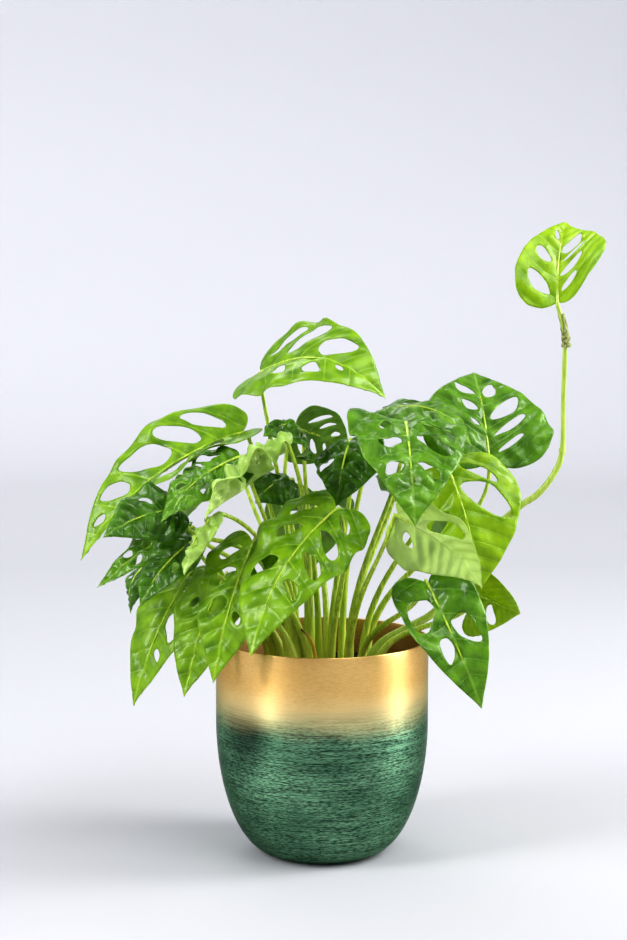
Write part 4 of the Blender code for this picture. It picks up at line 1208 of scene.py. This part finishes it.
FLOOR_SIDES = 64
FLOOR_RINGS = (0.6, 1.4, 2.2)  # radii of the flat part, out to where it starts to sweep up
FLOOR_SWEEP = 0.9
FLOOR_DROP = 0.0002
WALL_TOP = 2.6
PAPER_PAINTED_LIGHT = (1.3, 3.4)  # distances over which the paper is painted from grey to near white, as painted light
CAMERA_PLACE = (-0.006, -1.4, 0.430)
CAMERA_PITCH = 6.47
CAMERA_LENS = 77.2

floor_profile = [(radius, 0.0) for radius in FLOOR_RINGS[:-1]]
for turn in np.linspace(0, math.pi / 2, 16):
    floor_profile.append((FLOOR_RINGS[-1] + FLOOR_SWEEP * math.sin(turn),
                          FLOOR_SWEEP * (1 - math.cos(turn))))
floor_profile.append((FLOOR_RINGS[-1] + FLOOR_SWEEP, WALL_TOP))
floor_points = []
for radius, height in floor_profile:
    turns = (2 * math.pi * k / FLOOR_SIDES for k in range(FLOOR_SIDES))
    floor_points += [(radius * math.cos(t), radius * math.sin(t), height - FLOOR_DROP)
                     for t in turns]
floor_faces = [tuple(range(FLOOR_SIDES))]
for ring in range(len(floor_profile) - 1):
    for k in range(FLOOR_SIDES):
        low, after = ring * FLOOR_SIDES, (k + 1) % FLOOR_SIDES
        high = low + FLOOR_SIDES
        floor_faces.append((low + k, high + k, high + after, low + after))
paper = Finish("pale_studio_paper")
# Painted light: the paper is painted grey near the pot and nearly white far off, so that floor and
# wall, which the lamps light unevenly, look evenly lit.
away = paper.spread(paper.add("VectorMath", {0: paper.place()}, 1, operation="LENGTH"), *PAPER_PAINTED_LIGHT)
tone = paper.blend(away, (0.425, 0.427, 0.444), (0.650, 0.652, 0.682))
paper.set(Base_Color=tone, Roughness=1.0, Specular_IOR_Level=0.2)
floor_mesh = smooth_mesh("studio_floor", floor_points, floor_faces)
floor_mesh.materials.append(paper.material)
floor = bpy.data.objects.new("studio_floor", floor_mesh)
bpy.context.scene.collection.objects.link(floor)


def panel(name, place, aim, size, power):
    """A soft light panel that faces its aim."""
    lamp = bpy.data.lights.new(name, "AREA")
    lamp.shape = "RECTANGLE"
    lamp.size, lamp.size_y = size
    lamp.energy = power
    made = bpy.data.objects.new(name, lamp)
    made.location = place
    made.rotation_euler = (Vector(aim) - Vector(place)).to_track_quat("-Z", "Y").to_euler()
    bpy.context.scene.collection.objects.link(made)


panel("key_panel", (1.60, 0.00, 1.00), (0, 0, 0.12), (0.7, 1.4), 33)
panel("fill_panel", (-1.35, -0.78, 1.05), (0, 0, 0.12), (0.5, 1.3), 22)
panel("back_panel", (-0.5, 1.5, 1.8), (0, 0, 0.3), (1.2, 0.8), 9)

daylight = bpy.data.lights.new("soft_daylight", "SUN")
daylight.energy = 1.15
daylight.angle = math.radians(36)
daylight_lamp = bpy.data.objects.new("soft_daylight", daylight)
daylight_lamp.rotation_euler = Vector((0.50, -0.62, 0.95)).to_track_quat("Z", "Y").to_euler()
bpy.context.scene.collection.objects.link(daylight_lamp)

sky = bpy.data.worlds.new("studio_air")
sky.use_nodes = True
air = sky.node_tree.nodes["Background"]
air.inputs["Color"].default_value = (0.95, 0.96, 1.0, 1.0)
air.inputs["Strength"].default_value = 0.51
bpy.context.scene.world = sky
bpy.context.scene.view_settings.view_transform = "Standard"
bpy.context.scene.view_settings.look = "High Contrast"

camera_data = bpy.data.cameras.new("studio_camera")
camera_data.lens = CAMERA_LENS
camera_data.sensor_width = 36.0
camera = bpy.data.objects.new("studio_camera", camera_data)
camera.location = CAMERA_PLACE
camera.rotation_euler = (math.radians(90 - CAMERA_PITCH), 0, 0)
bpy.context.scene.collection.objects.link(camera)
bpy.context.scene.camera = camera
